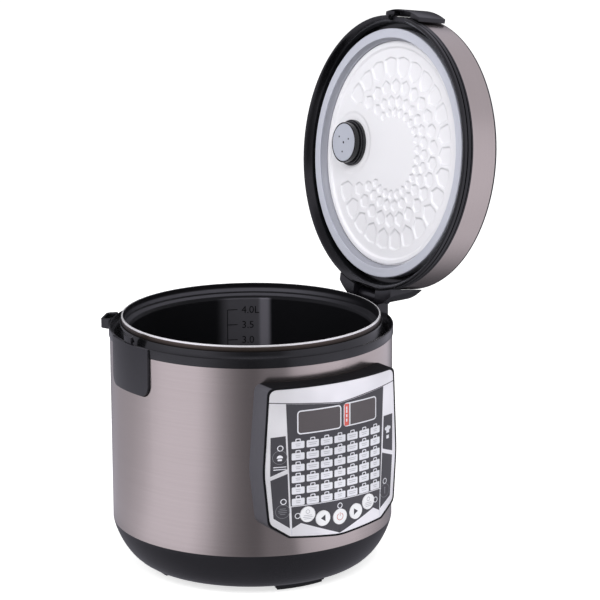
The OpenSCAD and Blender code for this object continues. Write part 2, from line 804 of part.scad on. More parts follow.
module release_tab() {
  color([0.13, 0.13, 0.14]) difference() {
    union() {
      intersection() {
        tab_prism(0);
        tube(tab_in, body_r + tab_proud, tab_bottom_z - 1, top_z + 10);
      }
      intersection() {
        block([-past, -tab_half, top_z - 4], [-ring_cut_r - 0.4, tab_half, top_z + groove_h]);
        disc(body_r + tab_proud - 0.6, top_z - 4, top_z + groove_h);
      }
      intersection() {
        block([-past, -tab_half, top_z - 1], [-pot_r, tab_half, top_z + rim_h]);
        tube(rim_in, body_r + tab_proud, top_z - 1, top_z + rim_h);
      }
      for (y = [-lug_y - lug_t, lug_y]) {
        block([-tab_in - 1, y, latch_z - ear_r], [-latch_x, y + lug_t, latch_z + ear_r]);
        translate([-latch_x, y + lug_t, latch_z]) rotate([90, 0, 0]) cylinder(r = ear_r, h = lug_t);
      }
    }
    translate([-latch_x, past, latch_z]) rotate([90, 0, 0])
      cylinder(r = latch_pin_r + pin_fit, h = 2 * past);
    block([-hook_in_x - hook_t, -hook_half, hook_foot_z] - snug,
      [-hook_in_x, hook_half, top_z + rim_h] + snug);
  }
}

module latch_hook() {
  color("silver") {
    block([-hook_in_x - hook_t, -hook_half, hook_foot_z], [-hook_in_x, hook_half, hook_top_z]);
    translate([-hook_in_x, hook_half, 0]) rotate([90, 0, 0]) linear_extrude(2 * hook_half)
      polygon([[-0.1, barb_z], [barb_reach, barb_z], [barb_reach, barb_z + 1], [-0.1, hook_top_z]]);
  }
}

// ---------- inner pot ----------

pot_out = pot_r + pot_t;
step_h = 2;

module inner_pot() {
  seat_z = pot_rim_z - flange_depth;
  inner = concat(
    [[0, pot_floor_z]],
    arc([pot_r - pot_corner, pot_floor_z + pot_corner], pot_corner, -90, 0, 8),
    [[pot_r, seat_z - step_h - 2.5], [pot_r + 1.2, seat_z - step_h]],
    [[pot_in_rim - 0.8, seat_z - 0.3], [pot_in_rim, seat_z + 0.8], [pot_in_rim, pot_rim_z]]
  );
  under_z = pot_rim_z - flange_depth - pot_t;
  outer = concat(
    [[pot_rim_r, pot_rim_z], [pot_rim_r, under_z + 0.8], [pot_rim_r - 0.8, under_z - 0.2]],
    [[pot_out + 0.7, under_z - step_h], [pot_out, under_z - step_h - 2.5]],
    arc([pot_out - pot_corner - pot_t, pot_under_z + pot_corner + pot_t], pot_corner + pot_t, 0, -90, 8),
    [[0, pot_under_z]]
  );
  color([0.09, 0.09, 0.1]) revolve(concat(inner, outer));
}

// ---------- lid ----------

skirt_in = body_r - 5;
channel_w = pot_rim_h - lid_seat + 0.55;
floor_w = channel_w + 2.2;
sweep_r = land_r - lid_gap;
function lid_land(w) = hinge_x - sqrt(pow(sweep_r, 2) - pow(hinge_h - lid_seat - w, 2));
pan_r = plate_r - 4.3;
dome_w = band_w + dome_h;
lid_profile = concat(
  [for (i = [0 : land_steps]) let (w = (hinge_h - lid_seat) * i / land_steps) [lid_land(w), w]],
  [[lid_land(hinge_h - lid_seat), channel_w], [pan_r, channel_w], [pan_r, floor_w], [skirt_in, floor_w]],
  [[skirt_in, band_w - 0.7], [skirt_in + lid_wall, band_w - 0.7], [skirt_in + lid_wall, frame_w]],
  [[frame_r - 0.4, frame_w], [frame_r - 0.4, 8.4], [frame_r - 1.4, 8.2], [frame_r - 1.4, 7.4]],
  [[frame_r, 7.2], [frame_r, 4.4], [frame_r - 1.2, 4.2], [frame_r - 1.2, 3.4], [frame_r, 3.2]],
  [[frame_r, 0.5], [frame_r - 0.5, 0]]
);
cover_gap = 0.3;
slot_half = lug_half + 0.8;
recess_w = 3.5;
slot_x = frame_r - 3.4;
keeper_half = hook_half + 6.8;
keeper_x = frame_r - 5.2;
keeper_hole_w = 13;

module lid_frame() {
  color([0.14, 0.14, 0.15]) on_lid() difference() {
    revolve(lid_profile);
    block([slot_x, -slot_half, -1], [past, slot_half, recess_w]);
    block([-past, -keeper_half, -1], [-keeper_x, keeper_half, keeper_hole_w]);
  }
}

module lid_band() {
  color([0.62, 0.58, 0.57]) on_lid() difference() {
    tube(band_r - 0.8, band_r, frame_w, band_w);
    block([-past, -keeper_half, 0], [-keeper_x, keeper_half, keeper_hole_w]);
  }
}

module lid_top() {
  under = band_w + 0.2;
  plug_r = skirt_in - seat;
  edge_r = band_r - 1.3;
  edge_w = under + 2.3;
  steps = 6;
  plug_in = plug_r - 2.7;
  inside = [[0, dome_w - 2.2], [plug_r / 2, dome_w - 3], [plug_in, under + 0.6], [plug_in, under - 4]];
  edge = [[plug_r, under - 4], [plug_r, under], [band_r, under], [band_r, under + 1.2], [edge_r, edge_w]];
  dome = [
    for (i = [1 : steps])
      let (t = i / steps)
        [edge_r * (1 - t), edge_w + (dome_w - edge_w) * (1 - pow(1 - t, 2))]
  ];
  color([0.13, 0.13, 0.14]) on_lid() difference() {
    revolve(concat(inside, edge, dome));
    translate([0, valve_y, plate_w]) cylinder(r = 13, h = past);
  }
}

cover_r0 = 61;
cover_r1 = 55.5;
cover_top_w = band_w + 1.4;

module hinge_cover() {
  color([0.13, 0.13, 0.14]) on_lid() difference() {
    intersection() {
      translate([cover_reach - cover_r0, 0, 0]) cylinder(r1 = cover_r0, r2 = cover_r1, h = cover_top_w);
      block([pot_r, -cover_half, -1], [past, cover_half, past]);
    }
    disc(frame_r + cover_gap, -1, past);
    block([pot_r, -slot_half, -1], [past, slot_half, hinge_h - lid_seat + lug_r + 1.2]);
    translate([hinge_x, pin_half + seat, hinge_h - lid_seat]) rotate([90, 0, 0])
      cylinder(r = pin_r + pin_fit, h = 2 * (pin_half + seat));
  }
}

hump_r = 75;
hump_wall = 1.7;
hump_w = rim_h - lid_seat + 0.7;

module latch_cover() {
  color([0.13, 0.13, 0.14]) on_lid() difference() {
    intersection() {
      translate([-hump_reach + hump_r, 0, 0]) disc(hump_r, hump_w, cover_top_w);
      block([-past, -hump_half, -1], [-pot_r, hump_half, past]);
    }
    disc(frame_r + cover_gap, -1, past);
    block([-hump_reach + hump_wall, -keeper_half, -1], [-pot_r, keeper_half, keeper_hole_w]);
  }
}

keeper_edge = hook_in_x - 0.9;
keeper_w = 4.4;
keeper_bar_half = keeper_half - 1.3;

module latch_keeper() {
  color("silver") on_lid()
    block([-keeper_edge, -keeper_bar_half, keeper_w],
      [-keeper_x - 0.1, keeper_bar_half, barb_z - lid_z - seat]);
}

module lid_pan() {
  color([0.75, 0.75, 0.77]) on_lid() difference() {
    disc(pan_r - seat, channel_w + 0.2, channel_w + 1);
    translate([0, valve_y, 0]) cylinder(r = valve_r - 4, h = past);
  }
}

// Honeycomb rows pressed into the inner plate:
// [distance in from the plate's edge, cell length, number of cells]
cell_pitch = 360 / cell_count;
cell_rows = [[63, 8.6, 19], [53.1, 10.6, 20], [39.8, 13, 21], [21.5, 17.5, 22]];

// One cell: a hexagon drawn out along the radius, with rounded corners
module cell(r, length) {
  w = r * cell_fill * cell_pitch * PI / 180;
  tip = length / 2;
  side = length * 0.22;
  k = 1 + side / r;
  c = min(w, length) * 0.2;
  lower = [[-tip, 0], [-side, -w / 2 / k], [side, -w / 2 * k]];
  upper = [[tip, 0], [side, w / 2 * k], [-side, w / 2 / k]];
  polygon(rounded(concat(lower, upper), [c, c, c, c, c, c], 2));
}

module cells() {
  for (row = cell_rows)
    for (i = [0 : row[2] - 1])
      rotate([0, 0, -90 + (i - (row[2] - 1) / 2) * cell_pitch])
        translate([plate_r - row[0], 0, 0]) cell(plate_r - row[0], row[1]);
}

module inner_plate() {
  rim_w = plate_w - 1.9;
  step_r = plate_r - 4.3;
  face_r = plate_r - 8.3;
  front = [[0, plate_w], [face_r, plate_w], [step_r, rim_w], [plate_r, rim_w]];
  back = [for (i = [3 : -1 : 0]) front[i] + [i == 0 || i == 3 ? 0 : 0.6, plate_t]];
  color([0.92, 0.92, 0.93]) on_lid() difference() {
    revolve(concat(front, back));
    translate([0, 0, plate_w - 1]) linear_extrude(1 + cell_depth) cells();
    translate([0, valve_y, plate_w - 1]) cylinder(r = 15, h = 5);
    translate([0, valve_y, plate_w - 0.01]) cylinder(r1 = 29, r2 = 27, h = 0.6);
  }
}

module lid_gasket() {
  inner = plate_r + seat;
  web = 1.4;
  foot_w = channel_w - 0.1;
  edge = [[gasket_r - 0.6, gasket_w], [gasket_r, gasket_w + 0.6], [gasket_r, foot_w]];
  lip = concat([[gasket_in_r, gasket_w]], edge);
  hollow = [[gasket_r - web, foot_w], [gasket_r - web, gasket_w + web], [gasket_in_r + 0.8, gasket_w + web]];
  wall = [[inner + web, plate_w - 1.7], [inner + web, foot_w], [inner, foot_w], [inner, plate_w - 2]];
  color([0.78, 0.79, 0.84]) on_lid() revolve(concat(lip, hollow, wall));
}

module steam_duct() {
  color([0.9, 0.9, 0.9]) on_lid() translate([0, valve_y, 0])
    tube(10, 12, plate_w + plate_t + 2.1, dome_w - 2.8);
}

module valve_base() {
  color([0.1, 0.1, 0.1]) on_lid() translate([0, valve_y, 0]) difference() {
    union() {
      disc(valve_r, plate_w - 2.4, plate_w + 0.55);
      disc(valve_r - 1.2, plate_w - 4.2, plate_w - 2.4);
      disc(14.6, plate_w, plate_w + plate_t + 2);
    }
    disc(9, plate_w - 10, plate_w + 10);
  }
}

module valve_cap() {
  cap_w = plate_w - valve_h;
  foot_w = plate_w - 4.4;
  inside_r = valve_cap_r - 1.5;
  outside = [[0, cap_w], [valve_cap_r - 0.8, cap_w], [valve_cap_r, cap_w + 0.8], [valve_cap_r, foot_w]];
  inside = [[inside_r, foot_w], [inside_r, cap_w + 2], [0, cap_w + 2]];
  color([0.72, 0.72, 0.76]) on_lid() translate([0, valve_y, 0]) difference() {
    revolve(concat(outside, inside));
    disc(1.1, 0, 20);
    for (a = [0 : 120 : 240])
      rotate([0, 0, a]) translate([8.5, 0, 0]) disc(0.8, 0, 20);
  }
}

module vent_cap() {
  cap_r = 16;
  skirt = [[9.6, -1.4], [12.6, -1.4], [12.6, 1], [cap_r, 1], [cap_r, 5]];
  roof = [[cap_r - 1.5, 6.5], [0, 6.5], [0, 5], [9.6, 5]];
  color([0.2, 0.2, 0.21]) on_lid() translate([0, valve_y, dome_w - 1.2]) difference() {
    revolve(concat(skirt, roof));
    for (a = [0 : 30 : 150])
      rotate([0, 0, a]) block([-20, -0.9, 2.2], [20, 0.9, 4.4]);
  }
}

base_housing();
foot_blocks();
foot_pads();
base_screws();
power_inlet();
power_board();
body_wrap();
top_ring();
spoon_loop();
hinge_housing();
hinge_pin();
hinge_screws();
inner_liner();
liner_floor();
side_heater();
heater_posts();
heating_plate();
heating_element();
sensor_holder();
sensor_spring();
sensor_cap();
thermal_fuse();
panel_bezel();
panel_overlay();
mode_window();
time_window();
display_module();
control_board();
indicator_lights();
button_back();
button_power();
button_start();
button_minus();
button_plus();
latch_bracket();
latch_pin();
latch_spring();
release_tab();
latch_hook();
inner_pot();
lid_frame();
lid_band();
lid_top();
hinge_cover();
latch_cover();
latch_keeper();
lid_pan();
inner_plate();
lid_gasket();
steam_duct();
valve_base();
valve_cap();
vent_cap();
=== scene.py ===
import json
import math

import bmesh
import bpy
from mathutils import Matrix, Vector


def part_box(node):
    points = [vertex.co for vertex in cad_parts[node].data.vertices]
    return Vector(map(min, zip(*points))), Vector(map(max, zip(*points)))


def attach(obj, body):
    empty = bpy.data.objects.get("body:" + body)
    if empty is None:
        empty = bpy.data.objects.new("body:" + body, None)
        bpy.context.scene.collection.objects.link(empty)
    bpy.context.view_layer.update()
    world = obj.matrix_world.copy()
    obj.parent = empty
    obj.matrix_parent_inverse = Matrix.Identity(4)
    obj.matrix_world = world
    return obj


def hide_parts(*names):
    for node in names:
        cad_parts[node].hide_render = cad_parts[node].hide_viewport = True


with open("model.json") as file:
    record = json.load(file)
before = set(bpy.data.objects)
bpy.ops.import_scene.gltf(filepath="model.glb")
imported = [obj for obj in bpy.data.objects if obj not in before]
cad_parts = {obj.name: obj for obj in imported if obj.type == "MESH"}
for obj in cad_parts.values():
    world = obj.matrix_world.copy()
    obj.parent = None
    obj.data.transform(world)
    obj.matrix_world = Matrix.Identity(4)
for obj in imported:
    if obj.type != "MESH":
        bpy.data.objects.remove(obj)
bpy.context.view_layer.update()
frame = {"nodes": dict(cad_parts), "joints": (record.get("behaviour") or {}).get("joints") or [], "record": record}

# ---------- the cooker's own places, in metres ----------

MM = 0.001
joints = {joint["name"]: joint for joint in frame["joints"]}
hinge = Vector(joints["lid_hinge"]["pos_m"])
lid_swing = math.radians(-joints["lid_hinge"]["range_deg"][0])

top_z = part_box("body_wrap")[1].z
lid_seat = 3 * MM
lid_z = top_z + lid_seat
pot_rim_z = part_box("inner_pot")[1].z

panel_r = 173.3 * MM
panel_y = 34.5 * MM
bezel_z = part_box("panel_bezel")[1].z
valve_y = 63.6 * MM

# The lid's inner parts, in mm: radius from the lid's axis, height from its seat
plate_r = 100.3
plate_w = 13.3
plate_t = 1.2
gasket_r = 111.4
gasket_in_r = 102.6
gasket_w = 5.3
gasket_foot_w = 14.7
valve_r = 21.0
cap_r = 18.4
cap_w = plate_w - 10.2

# The pot, in mm
pot_r = 106.0
pot_t = 2.0
pot_rim_r = 113.8
pot_corner = 18.0
pot_depth = 145.0
flange_depth = 9.25

# The lid is described closed and level; this swings it open about its pin
lid_place = (
    Matrix.Translation(hinge)
    @ Matrix.Rotation(lid_swing, 4, "Y")
    @ Matrix.Translation((-hinge.x, 0, lid_z - hinge.z))
)
lid_axis = lid_place.to_3x3() @ Vector((0, 0, 1))


# ---------- node maths ----------

class Wire:
    """A node's output socket that can take part in sums."""

    def __init__(self, nodes, socket):
        self.nodes = nodes
        self.socket = socket

    def calc(self, operation, *others):
        """One step of node maths, with this socket first."""
        return self.nodes.add("ShaderNodeMath", {"operation": operation}, [self, *others])

    def __add__(self, other):
        return self.calc("ADD", other)

    __radd__ = __add__

    def __sub__(self, other):
        return self.calc("SUBTRACT", other)

    def __rsub__(self, other):
        return self.nodes.add("ShaderNodeMath", {"operation": "SUBTRACT"}, [other, self])

    def __mul__(self, other):
        return self.calc("MULTIPLY", other)

    __rmul__ = __mul__

    def __truediv__(self, other):
        return self.calc("DIVIDE", other)

    def __rtruediv__(self, other):
        return self.nodes.add("ShaderNodeMath", {"operation": "DIVIDE"}, [other, self])

    def __abs__(self):
        return self.calc("ABSOLUTE")

    def __gt__(self, other):
        return self.calc("GREATER_THAN", other)

    def __lt__(self, other):
        return self.calc("LESS_THAN", other)

    def root(self):
        return self.calc("SQRT")


class Nodes:
    """A node tree that is written as expressions."""

    def __init__(self, tree):
        self.tree = tree

    def add(self, kind, settings=None, inputs=None, output=0):
        """Makes a node, sets it up, joins its inputs, and gives one of its outputs."""
        node = self.tree.nodes.new(kind)
        for key, value in (settings or {}).items():
            if key == "stops":
                self.set_stops(node.color_ramp, value)
            else:
                setattr(node, key, value)
        pairs = inputs.items() if isinstance(inputs, dict) else enumerate(inputs or [])
        for key, value in pairs:
            self.join(value, node.inputs[key])
        return Wire(self, node.outputs[output]) if node.outputs else None

    def join(self, value, socket):
        if isinstance(value, Wire):
            self.tree.links.new(value.socket, socket)
        else:
            socket.default_value = value

    @staticmethod
    def set_stops(ramp, stops):
        while len(ramp.elements) < len(stops):
            ramp.elements.new(0.5)
        for element, (place, level) in zip(ramp.elements, stops):
            element.position = place
            element.color = grey(level)

    def place(self):
        return self.add("ShaderNodeTexCoord", output="Object")

    def split(self, vector):
        parts = self.add("ShaderNodeSeparateXYZ", inputs=[vector])
        return [Wire(self, socket) for socket in parts.socket.node.outputs]

    def closest(self, first, second, blend_over):
        """The smaller of two, with the change from one to the other smoothed."""
        return self.add("ShaderNodeMath", {"operation": "SMOOTH_MIN"}, [first, second, blend_over])

    def dot(self, vector, axis):
        settings = {"operation": "DOT_PRODUCT"}
        return self.add("ShaderNodeVectorMath", settings, [vector, axis], output="Value")

    def stretch(self, vector, scale, along, along_scale):
        """A vector scaled one way and drawn out another, for grain that runs in lines."""
        flat = self.add("ShaderNodeVectorMath", {"operation": "SCALE"}, {0: vector, "Scale": scale})
        drawn = self.vector(z=along * along_scale)
        return self.add("ShaderNodeVectorMath", {"operation": "ADD"}, [flat, drawn])

    def vector(self, x=0.0, y=0.0, z=0.0):
        return self.add("ShaderNodeCombineXYZ", inputs=[x, y, z])

    def noise(self, vector, scale, detail=2.0):
        values = {"Vector": vector, "Scale": scale, "Detail": detail}
        return self.add("ShaderNodeTexNoise", inputs=values)

    def ramp(self, value, stops):
        return self.add("ShaderNodeValToRGB", {"stops": stops}, [value])

    def step(self, value, low, high):
        return self.add("ShaderNodeMapRange", {"interpolation_type": "SMOOTHSTEP"}, [value, low, high])

    def blend(self, amount, first, second):
        values = {0: amount, 6: first, 7: second}
        return self.add("ShaderNodeMix", {"data_type": "RGBA"}, values, output=2)

    def tinted(self, colour, tint):
        return self.add("ShaderNodeVectorMath", {"operation": "MULTIPLY"}, [colour, tint])

    def bump(self, height, strength, distance):
        values = {"Height": height, "Strength": strength, "Distance": distance}
        return self.add("ShaderNodeBump", inputs=values)


def shade(red, green, blue):
    """A colour given as it is seen on a screen, from 0 to 255."""
    def linear(c):
        c = c / 255
        return c / 12.92 if c < 0.04045 else ((c + 0.055) / 1.055) ** 2.4
    return (linear(red), linear(green), linear(blue), 1)


def grey(level):
    """A plain grey, from 0 to 1."""
    return (level, level, level, 1)


def bare_material(name):
    """A new material with no nodes yet."""
    made = bpy.data.materials.new(name)
    made.use_nodes = True
    made.node_tree.nodes.clear()
    return made, Nodes(made.node_tree)


def finish(name, constants, surface):
    """A material: constants go on the shader's own sockets, surface(nodes) gives what changes."""
    made, nodes = bare_material(name)
    shader = nodes.add("ShaderNodeBsdfPrincipled", inputs={**constants, **surface(nodes)})
    nodes.add("ShaderNodeOutputMaterial", inputs={"Surface": shader})
    return made


# ---------- finishes ----------

def gloss(level):
    """How strongly a surface shines, as a constant of its shader."""
    return {"Specular IOR Level": level}


def fine_grain(nodes, place):
    """The small spots of a moulded surface."""
    return nodes.noise(place, 2600.0, 3.0)


def slow_cloud(nodes, place):
    """Slow changes over a surface, a few centimetres across."""
    return nodes.noise(place, 16.0, 2.0)


def brushed_steel(name, axis, light, dark):
    """Warm stainless sheet, brushed round the given axis."""
    def surface(nodes):
        place = nodes.place()
        along = nodes.dot(place, axis)
        lines = nodes.noise(nodes.stretch(place, 14.0, along, 9000.0), 1.0, 2.0)
        broad = nodes.noise(nodes.stretch(place, 5.0, along, 1500.0), 1.0, 2.0)
        cloud = nodes.noise(place, 7.0, 2.0)
        grain = lines * 0.75 + broad * 0.25
        return {
            "Base Color": nodes.blend(nodes.step(grain, 0.15, 0.85), dark, light),
            "Roughness": 0.17 + lines * 0.04 + cloud * 0.02,
            "Normal": nodes.bump(lines, 0.015, 0.0001),
        }
    return finish(name, {"Metallic": 1.0}, surface)


def moulded(name, colour, rough, grain, constants=None):
    """Moulded plastic or rubber: a fine grain, and slow changes in gloss."""
    def surface(nodes):
        place = nodes.place()
        spots = fine_grain(nodes, place)
        cloud = slow_cloud(nodes, place)
        paler = tuple(min(1, c * 1.18 + 0.001) for c in colour[:3]) + (1,)
        return {
            "Base Color": nodes.blend(nodes.step(cloud, 0.35, 0.65), colour, paler),
            "Roughness": rough + (spots - 0.5) * 0.12 + (cloud - 0.5) * 0.1,
            "Normal": nodes.bump(spots, grain, 0.0002),
        }
    return finish(name, constants or {}, surface)


def bezel_plastic(name):
    """Black moulded plastic with a fine grain, as lit and shaded copies: painted light makes the side walls grey,
    and painted shade makes the top and front edge near black.
    """
    def surface(nodes):
        place = nodes.place()
        x, y, z = nodes.split(place)
        from_middle = y - panel_y
        out = (x * x + from_middle * from_middle).root()
        front = nodes.step(out, panel_r - 0.6 * MM, panel_r - 0.3 * MM)
        top = nodes.step(z, bezel_z - 0.6 * MM, bezel_z - 0.2 * MM)
        # Painted shade: the top face and the front edge are made near black.
        painted_shade_top_front = front.calc("MAXIMUM", top)
        spots = fine_grain(nodes, place)
        cloud = slow_cloud(nodes, place)
        # Painted light: the side walls get a lighter grey, as if lit from the side.
        wall = nodes.blend(cloud, shade(74, 73, 79), shade(84, 83, 89))
        return {
            "Base Color": nodes.blend(painted_shade_top_front, wall, shade(12, 12, 14)),
            "Roughness": 0.42 + spots * 0.1 + top * 0.3,
            "Normal": nodes.bump(spots, 0.06, 0.0002),
        }
    return finish(name, gloss(0.2), surface)


def metal(name, colour, rough, grain=0.05):
    """Plain bright or plated metal with a light grain."""
    def surface(nodes):
        place = nodes.place()
        spots = nodes.noise(place, 900.0, 4.0)
        cloud = nodes.noise(place, 30.0, 2.0)
        darker = tuple(c * 0.86 for c in colour[:3]) + (1,)
        return {
            "Base Color": nodes.blend(cloud, darker, colour),
            "Roughness": rough + (spots - 0.5) * 0.1,
            "Normal": nodes.bump(spots, grain, 0.0002),
        }
    return finish(name, {"Metallic": 1.0}, surface)


def seal_rubber(name):
    """Pale silicone, with painted shade that makes it darker down in the channel between the lip and the plate."""
    def surface(nodes):
        place = nodes.place()
        height = nodes.dot(place, tuple(lid_axis)) - lid_axis.dot(lid_place.translation)
        # Painted shade: a darker grey down in the channel, where shade falls.
        painted_groove_shade = nodes.step(height, (gasket_w + 0.9) * MM, (gasket_w + 3.2) * MM)
        cloud = slow_cloud(nodes, place)
        spots = fine_grain(nodes, place)
        lip = nodes.blend(cloud, shade(192, 194, 207), shade(199, 201, 213))
        return {
            "Base Color": nodes.blend(painted_groove_shade, lip, shade(158, 159, 169)),
            "Roughness": 0.3 + spots * 0.08,
            "Normal": nodes.bump(spots, 0.03, 0.0002),
        }
    return finish(name, {}, surface)


# Where the pot's painted highlights and painted reflection go: each place has two soft edges, and each edge a
# start and an end.
# Round the pot, in radians: a broad painted reflection down the wall, its narrower painted highlight, and the lit
# side of the flange
reflection_band_edges = ((0.822, 0.892), (1.182, 1.322))
highlight_stripe_edges = ((0.822, 0.872), (0.912, 0.952))
lit_edges = ((-0.2, 0.8), (1.7, 2.9))
# Down from the rim, in mm: the wall, and the painted highlights on the bend under the rim and on the flange's
# ledge
wall_edges = ((flange_depth + 3, flange_depth + 4), (50, 95))
bend_highlight_edges = ((3.6, 5.4), (7.2, 8.4))
ledge_highlight_edges = ((9.0, 9.4), (10.6, 11.2))


def between(nodes, value, edges):
    """1 between two soft edges and 0 outside them."""
    rise, fall = edges
    return nodes.step(value, *rise) * (1 - nodes.step(value, *fall))


def coated_pot(name):
    """Black non-stick coating inside, with a painted reflection and painted highlights down the wall and along the
    flange; warm metallic lacquer outside, darkened by painted shade below the rim; bare turned metal on the rim.
    """
    def surface(nodes):
        place = nodes.place()
        x, y, z = nodes.split(place)
        radius = (x * x + y * y).root()
        bearing = y.calc("ARCTAN2", x)
        drop = (pot_rim_z - z) / MM
        outside = nodes.step(radius, (pot_rim_r - 0.7) * MM, (pot_rim_r - 0.4) * MM)
        bare = nodes.step(radius, (pot_rim_r - 1.5) * MM, (pot_rim_r - 1.3) * MM)
        rim = bare * (1 - nodes.step(drop, 1.2, 1.5))
        specks = nodes.noise(place, 1500.0, 3.0)
        turned = nodes.noise(nodes.vector(z=z * 2500), 1.0, 2.0)
        wall = between(nodes, drop, wall_edges)
        painted_reflection_band = between(nodes, bearing, reflection_band_edges) * wall
        painted_highlight_stripe = between(nodes, bearing, highlight_stripe_edges) * wall
        bend = between(nodes, drop, bend_highlight_edges)
        ledge = between(nodes, drop, ledge_highlight_edges)
        lit = between(nodes, bearing, lit_edges)
        coat_and_painted_light = nodes.blend(specks, shade(9, 9, 11), shade(16, 16, 18))
        # Painted reflection and painted highlight: lighter greys down the wall.
        coat_and_painted_light = nodes.blend(painted_reflection_band * 0.9, coat_and_painted_light, shade(68, 67, 72))
        coat_and_painted_light = nodes.blend(painted_highlight_stripe * 0.8, coat_and_painted_light, shade(104, 102, 110))
        # Painted highlights along the bend under the rim and the flange's ledge, on the lit side.
        coat_and_painted_light = nodes.blend((bend * 0.8 + ledge * 0.5) * lit, coat_and_painted_light, shade(96, 95, 102))
        # Painted shade: below the rim the lacquer fades to near black, where the cooker's ring shades it.
        low = nodes.step(z, pot_rim_z - 7 * MM, pot_rim_z - 1 * MM)
        warm = nodes.blend(turned, shade(60, 52, 48), shade(96, 85, 79))
        lacquer = nodes.blend(low, shade(14, 13, 13), warm)
        sides = nodes.blend(outside, coat_and_painted_light, lacquer)
        return {
            "Base Color": nodes.blend(rim, sides, shade(236, 234, 236)),
            "Roughness": 0.4 + specks * 0.06 - rim * 0.2 - outside * 0.1,
            "Metallic": outside * (1 - rim) * 0.6 + rim * 0.5,
            "Normal": nodes.bump(specks * 0.6 + turned * 0.4, 0.05, 0.0002),
        }
    return finish(name, gloss(0.18), surface)


black = shade(15, 14, 18)
steel_light = shade(193, 183, 176)
steel_dark = shade(183, 173, 166)
# Each finish: its maker, then what the maker is told
recipes = {
    "champagne_steel": (brushed_steel, (0, 0, 1), steel_light, steel_dark),
    "lid_steel": (brushed_steel, tuple(lid_axis), steel_light, steel_dark),
    "black_plastic": (moulded, black, 0.3, 0.03, gloss(0.55)),
    "bezel_plastic": (bezel_plastic,),
    "gloss_black_plastic": (moulded, shade(11, 11, 13), 0.18, 0.01, gloss(0.5)),
    "bright_steel": (metal, shade(215, 215, 218), 0.2),
    "zinc_steel": (metal, shade(190, 192, 198), 0.38),
    "blackened_steel": (metal, shade(52, 52, 56), 0.4),
    "galvanised_sheet": (metal, shade(186, 188, 192), 0.42, 0.1),
    "heater_band": (moulded, shade(206, 196, 158), 0.8, 0.4),
    "cast_aluminium": (metal, shade(196, 197, 200), 0.4, 0.14),
    "satin_aluminium": (moulded, shade(243, 243, 247), 0.3, 0.02, gloss(0.5)),
    "pale_plastic": (moulded, shade(214, 214, 208), 0.5, 0.08),
    "circuit_board": (moulded, shade(40, 104, 66), 0.4, 0.1),
    "silver_overlay": (moulded, shade(230, 229, 231), 0.34, 0.02, {"Metallic": 0.5}),
    "dark_window": (moulded, shade(80, 75, 77), 0.16, 0.01, gloss(0.4)),
    "lamp_lens": (moulded, shade(40, 38, 40), 0.2, 0.01),
    "panel_grey": (moulded, shade(72, 71, 76), 0.36, 0.02, gloss(0.35)),
    "button_white": (moulded, shade(226, 226, 230), 0.34, 0.02),
    "pot_coating": (coated_pot,),
    "grey_silicone": (seal_rubber,),
    "valve_grey": (moulded, shade(170, 173, 185), 0.34, 0.02),
    "foot_rubber": (moulded, shade(44, 44, 46), 0.75, 0.2),
    "print_pale": (moulded, shade(168, 168, 176), 0.4, 0.01),
    "print_faint": (moulded, shade(112, 112, 118), 0.4, 0.01),
    "print_white": (moulded, shade(214, 214, 222), 0.4, 0.01),
    "print_red": (moulded, shade(205, 92, 84), 0.4, 0.01),
    "print_dull_red": (moulded, shade(186, 122, 116), 0.4, 0.01),
    "print_dark": (moulded, shade(62, 61, 66), 0.36, 0.01, gloss(0.35)),
    "pot_mark": (moulded, shade(4, 4, 5), 0.4, 0.02, gloss(0.2)),
}
finishes = {name: maker(name, *told) for name, (maker, *told) in recipes.items()}


def dress_frame():
    """Gives every piece of the frame its finish."""
    own = {"lid_band": "lid_steel", **dict.fromkeys(button_spots, "button_white")}
    for part in frame["record"]["subparts"]:
        node = frame["nodes"][part["node"]]
        look = finishes[own.get(part["node"], part["material_slot"])]
        node.data.materials.clear()
        node.data.materials.append(look)
        for face in node.data.polygons:
            face.material_index = 0


# ---------- making pieces ----------

def placed(name, data):
    """A new object in the scene."""
    made = bpy.data.objects.new(name, data)
    bpy.context.scene.collection.objects.link(made)
    return made


def piece(name, mesh, body, look, node=None):
    """Puts a finished mesh on its body."""
    made = placed(name, mesh)
    mesh.materials.clear()
    mesh.materials.append(finishes[look])
    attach(made, body)
    if node:
        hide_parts(node)


def on_lid(mesh, look, node=None):
    """Puts a mesh made for the closed, level lid on the open one."""
    mesh.transform(lid_place)
    piece(mesh.name, mesh, "lid", look, node)


def rounded(corners, steps=5):
    """An outline from corners (x, y, radius), each turned round by its radius."""
    points = []
    count = len(corners)
    for i, (x, y, radius) in enumerate(corners):
        corner = Vector((x, y))
        before = Vector(corners[i - 1][:2]) - corner
        after = Vector(corners[(i + 1) % count][:2]) - corner
        if radius == 0:
            points.append((x, y))
            continue
        reach = radius / math.tan(before.angle(after) / 2)
        reach = min(reach, 0.48 * before.length, 0.48 * after.length)
        start = corner + before.normalized() * reach
        end = corner + after.normalized() * reach
        for step in range(steps + 1):
            t = step / steps
            points.append(tuple(start * (1 - t) ** 2 + corner * 2 * t * (1 - t) + end * t * t))
    return points


def smoothed(mesh, sharp=38):
    """Smooth shading, broken at the edges that are sharper than the angle."""
    mesh.polygons.foreach_set("use_smooth", [True] * len(mesh.polygons))
    mesh.set_sharp_from_angle(angle=math.radians(sharp))
    return mesh


def finished_mesh(name, form):
    """The mesh of a form that is finished with."""
    mesh = bpy.data.meshes.new(name)
    form.to_mesh(mesh)
    form.free()
    return mesh


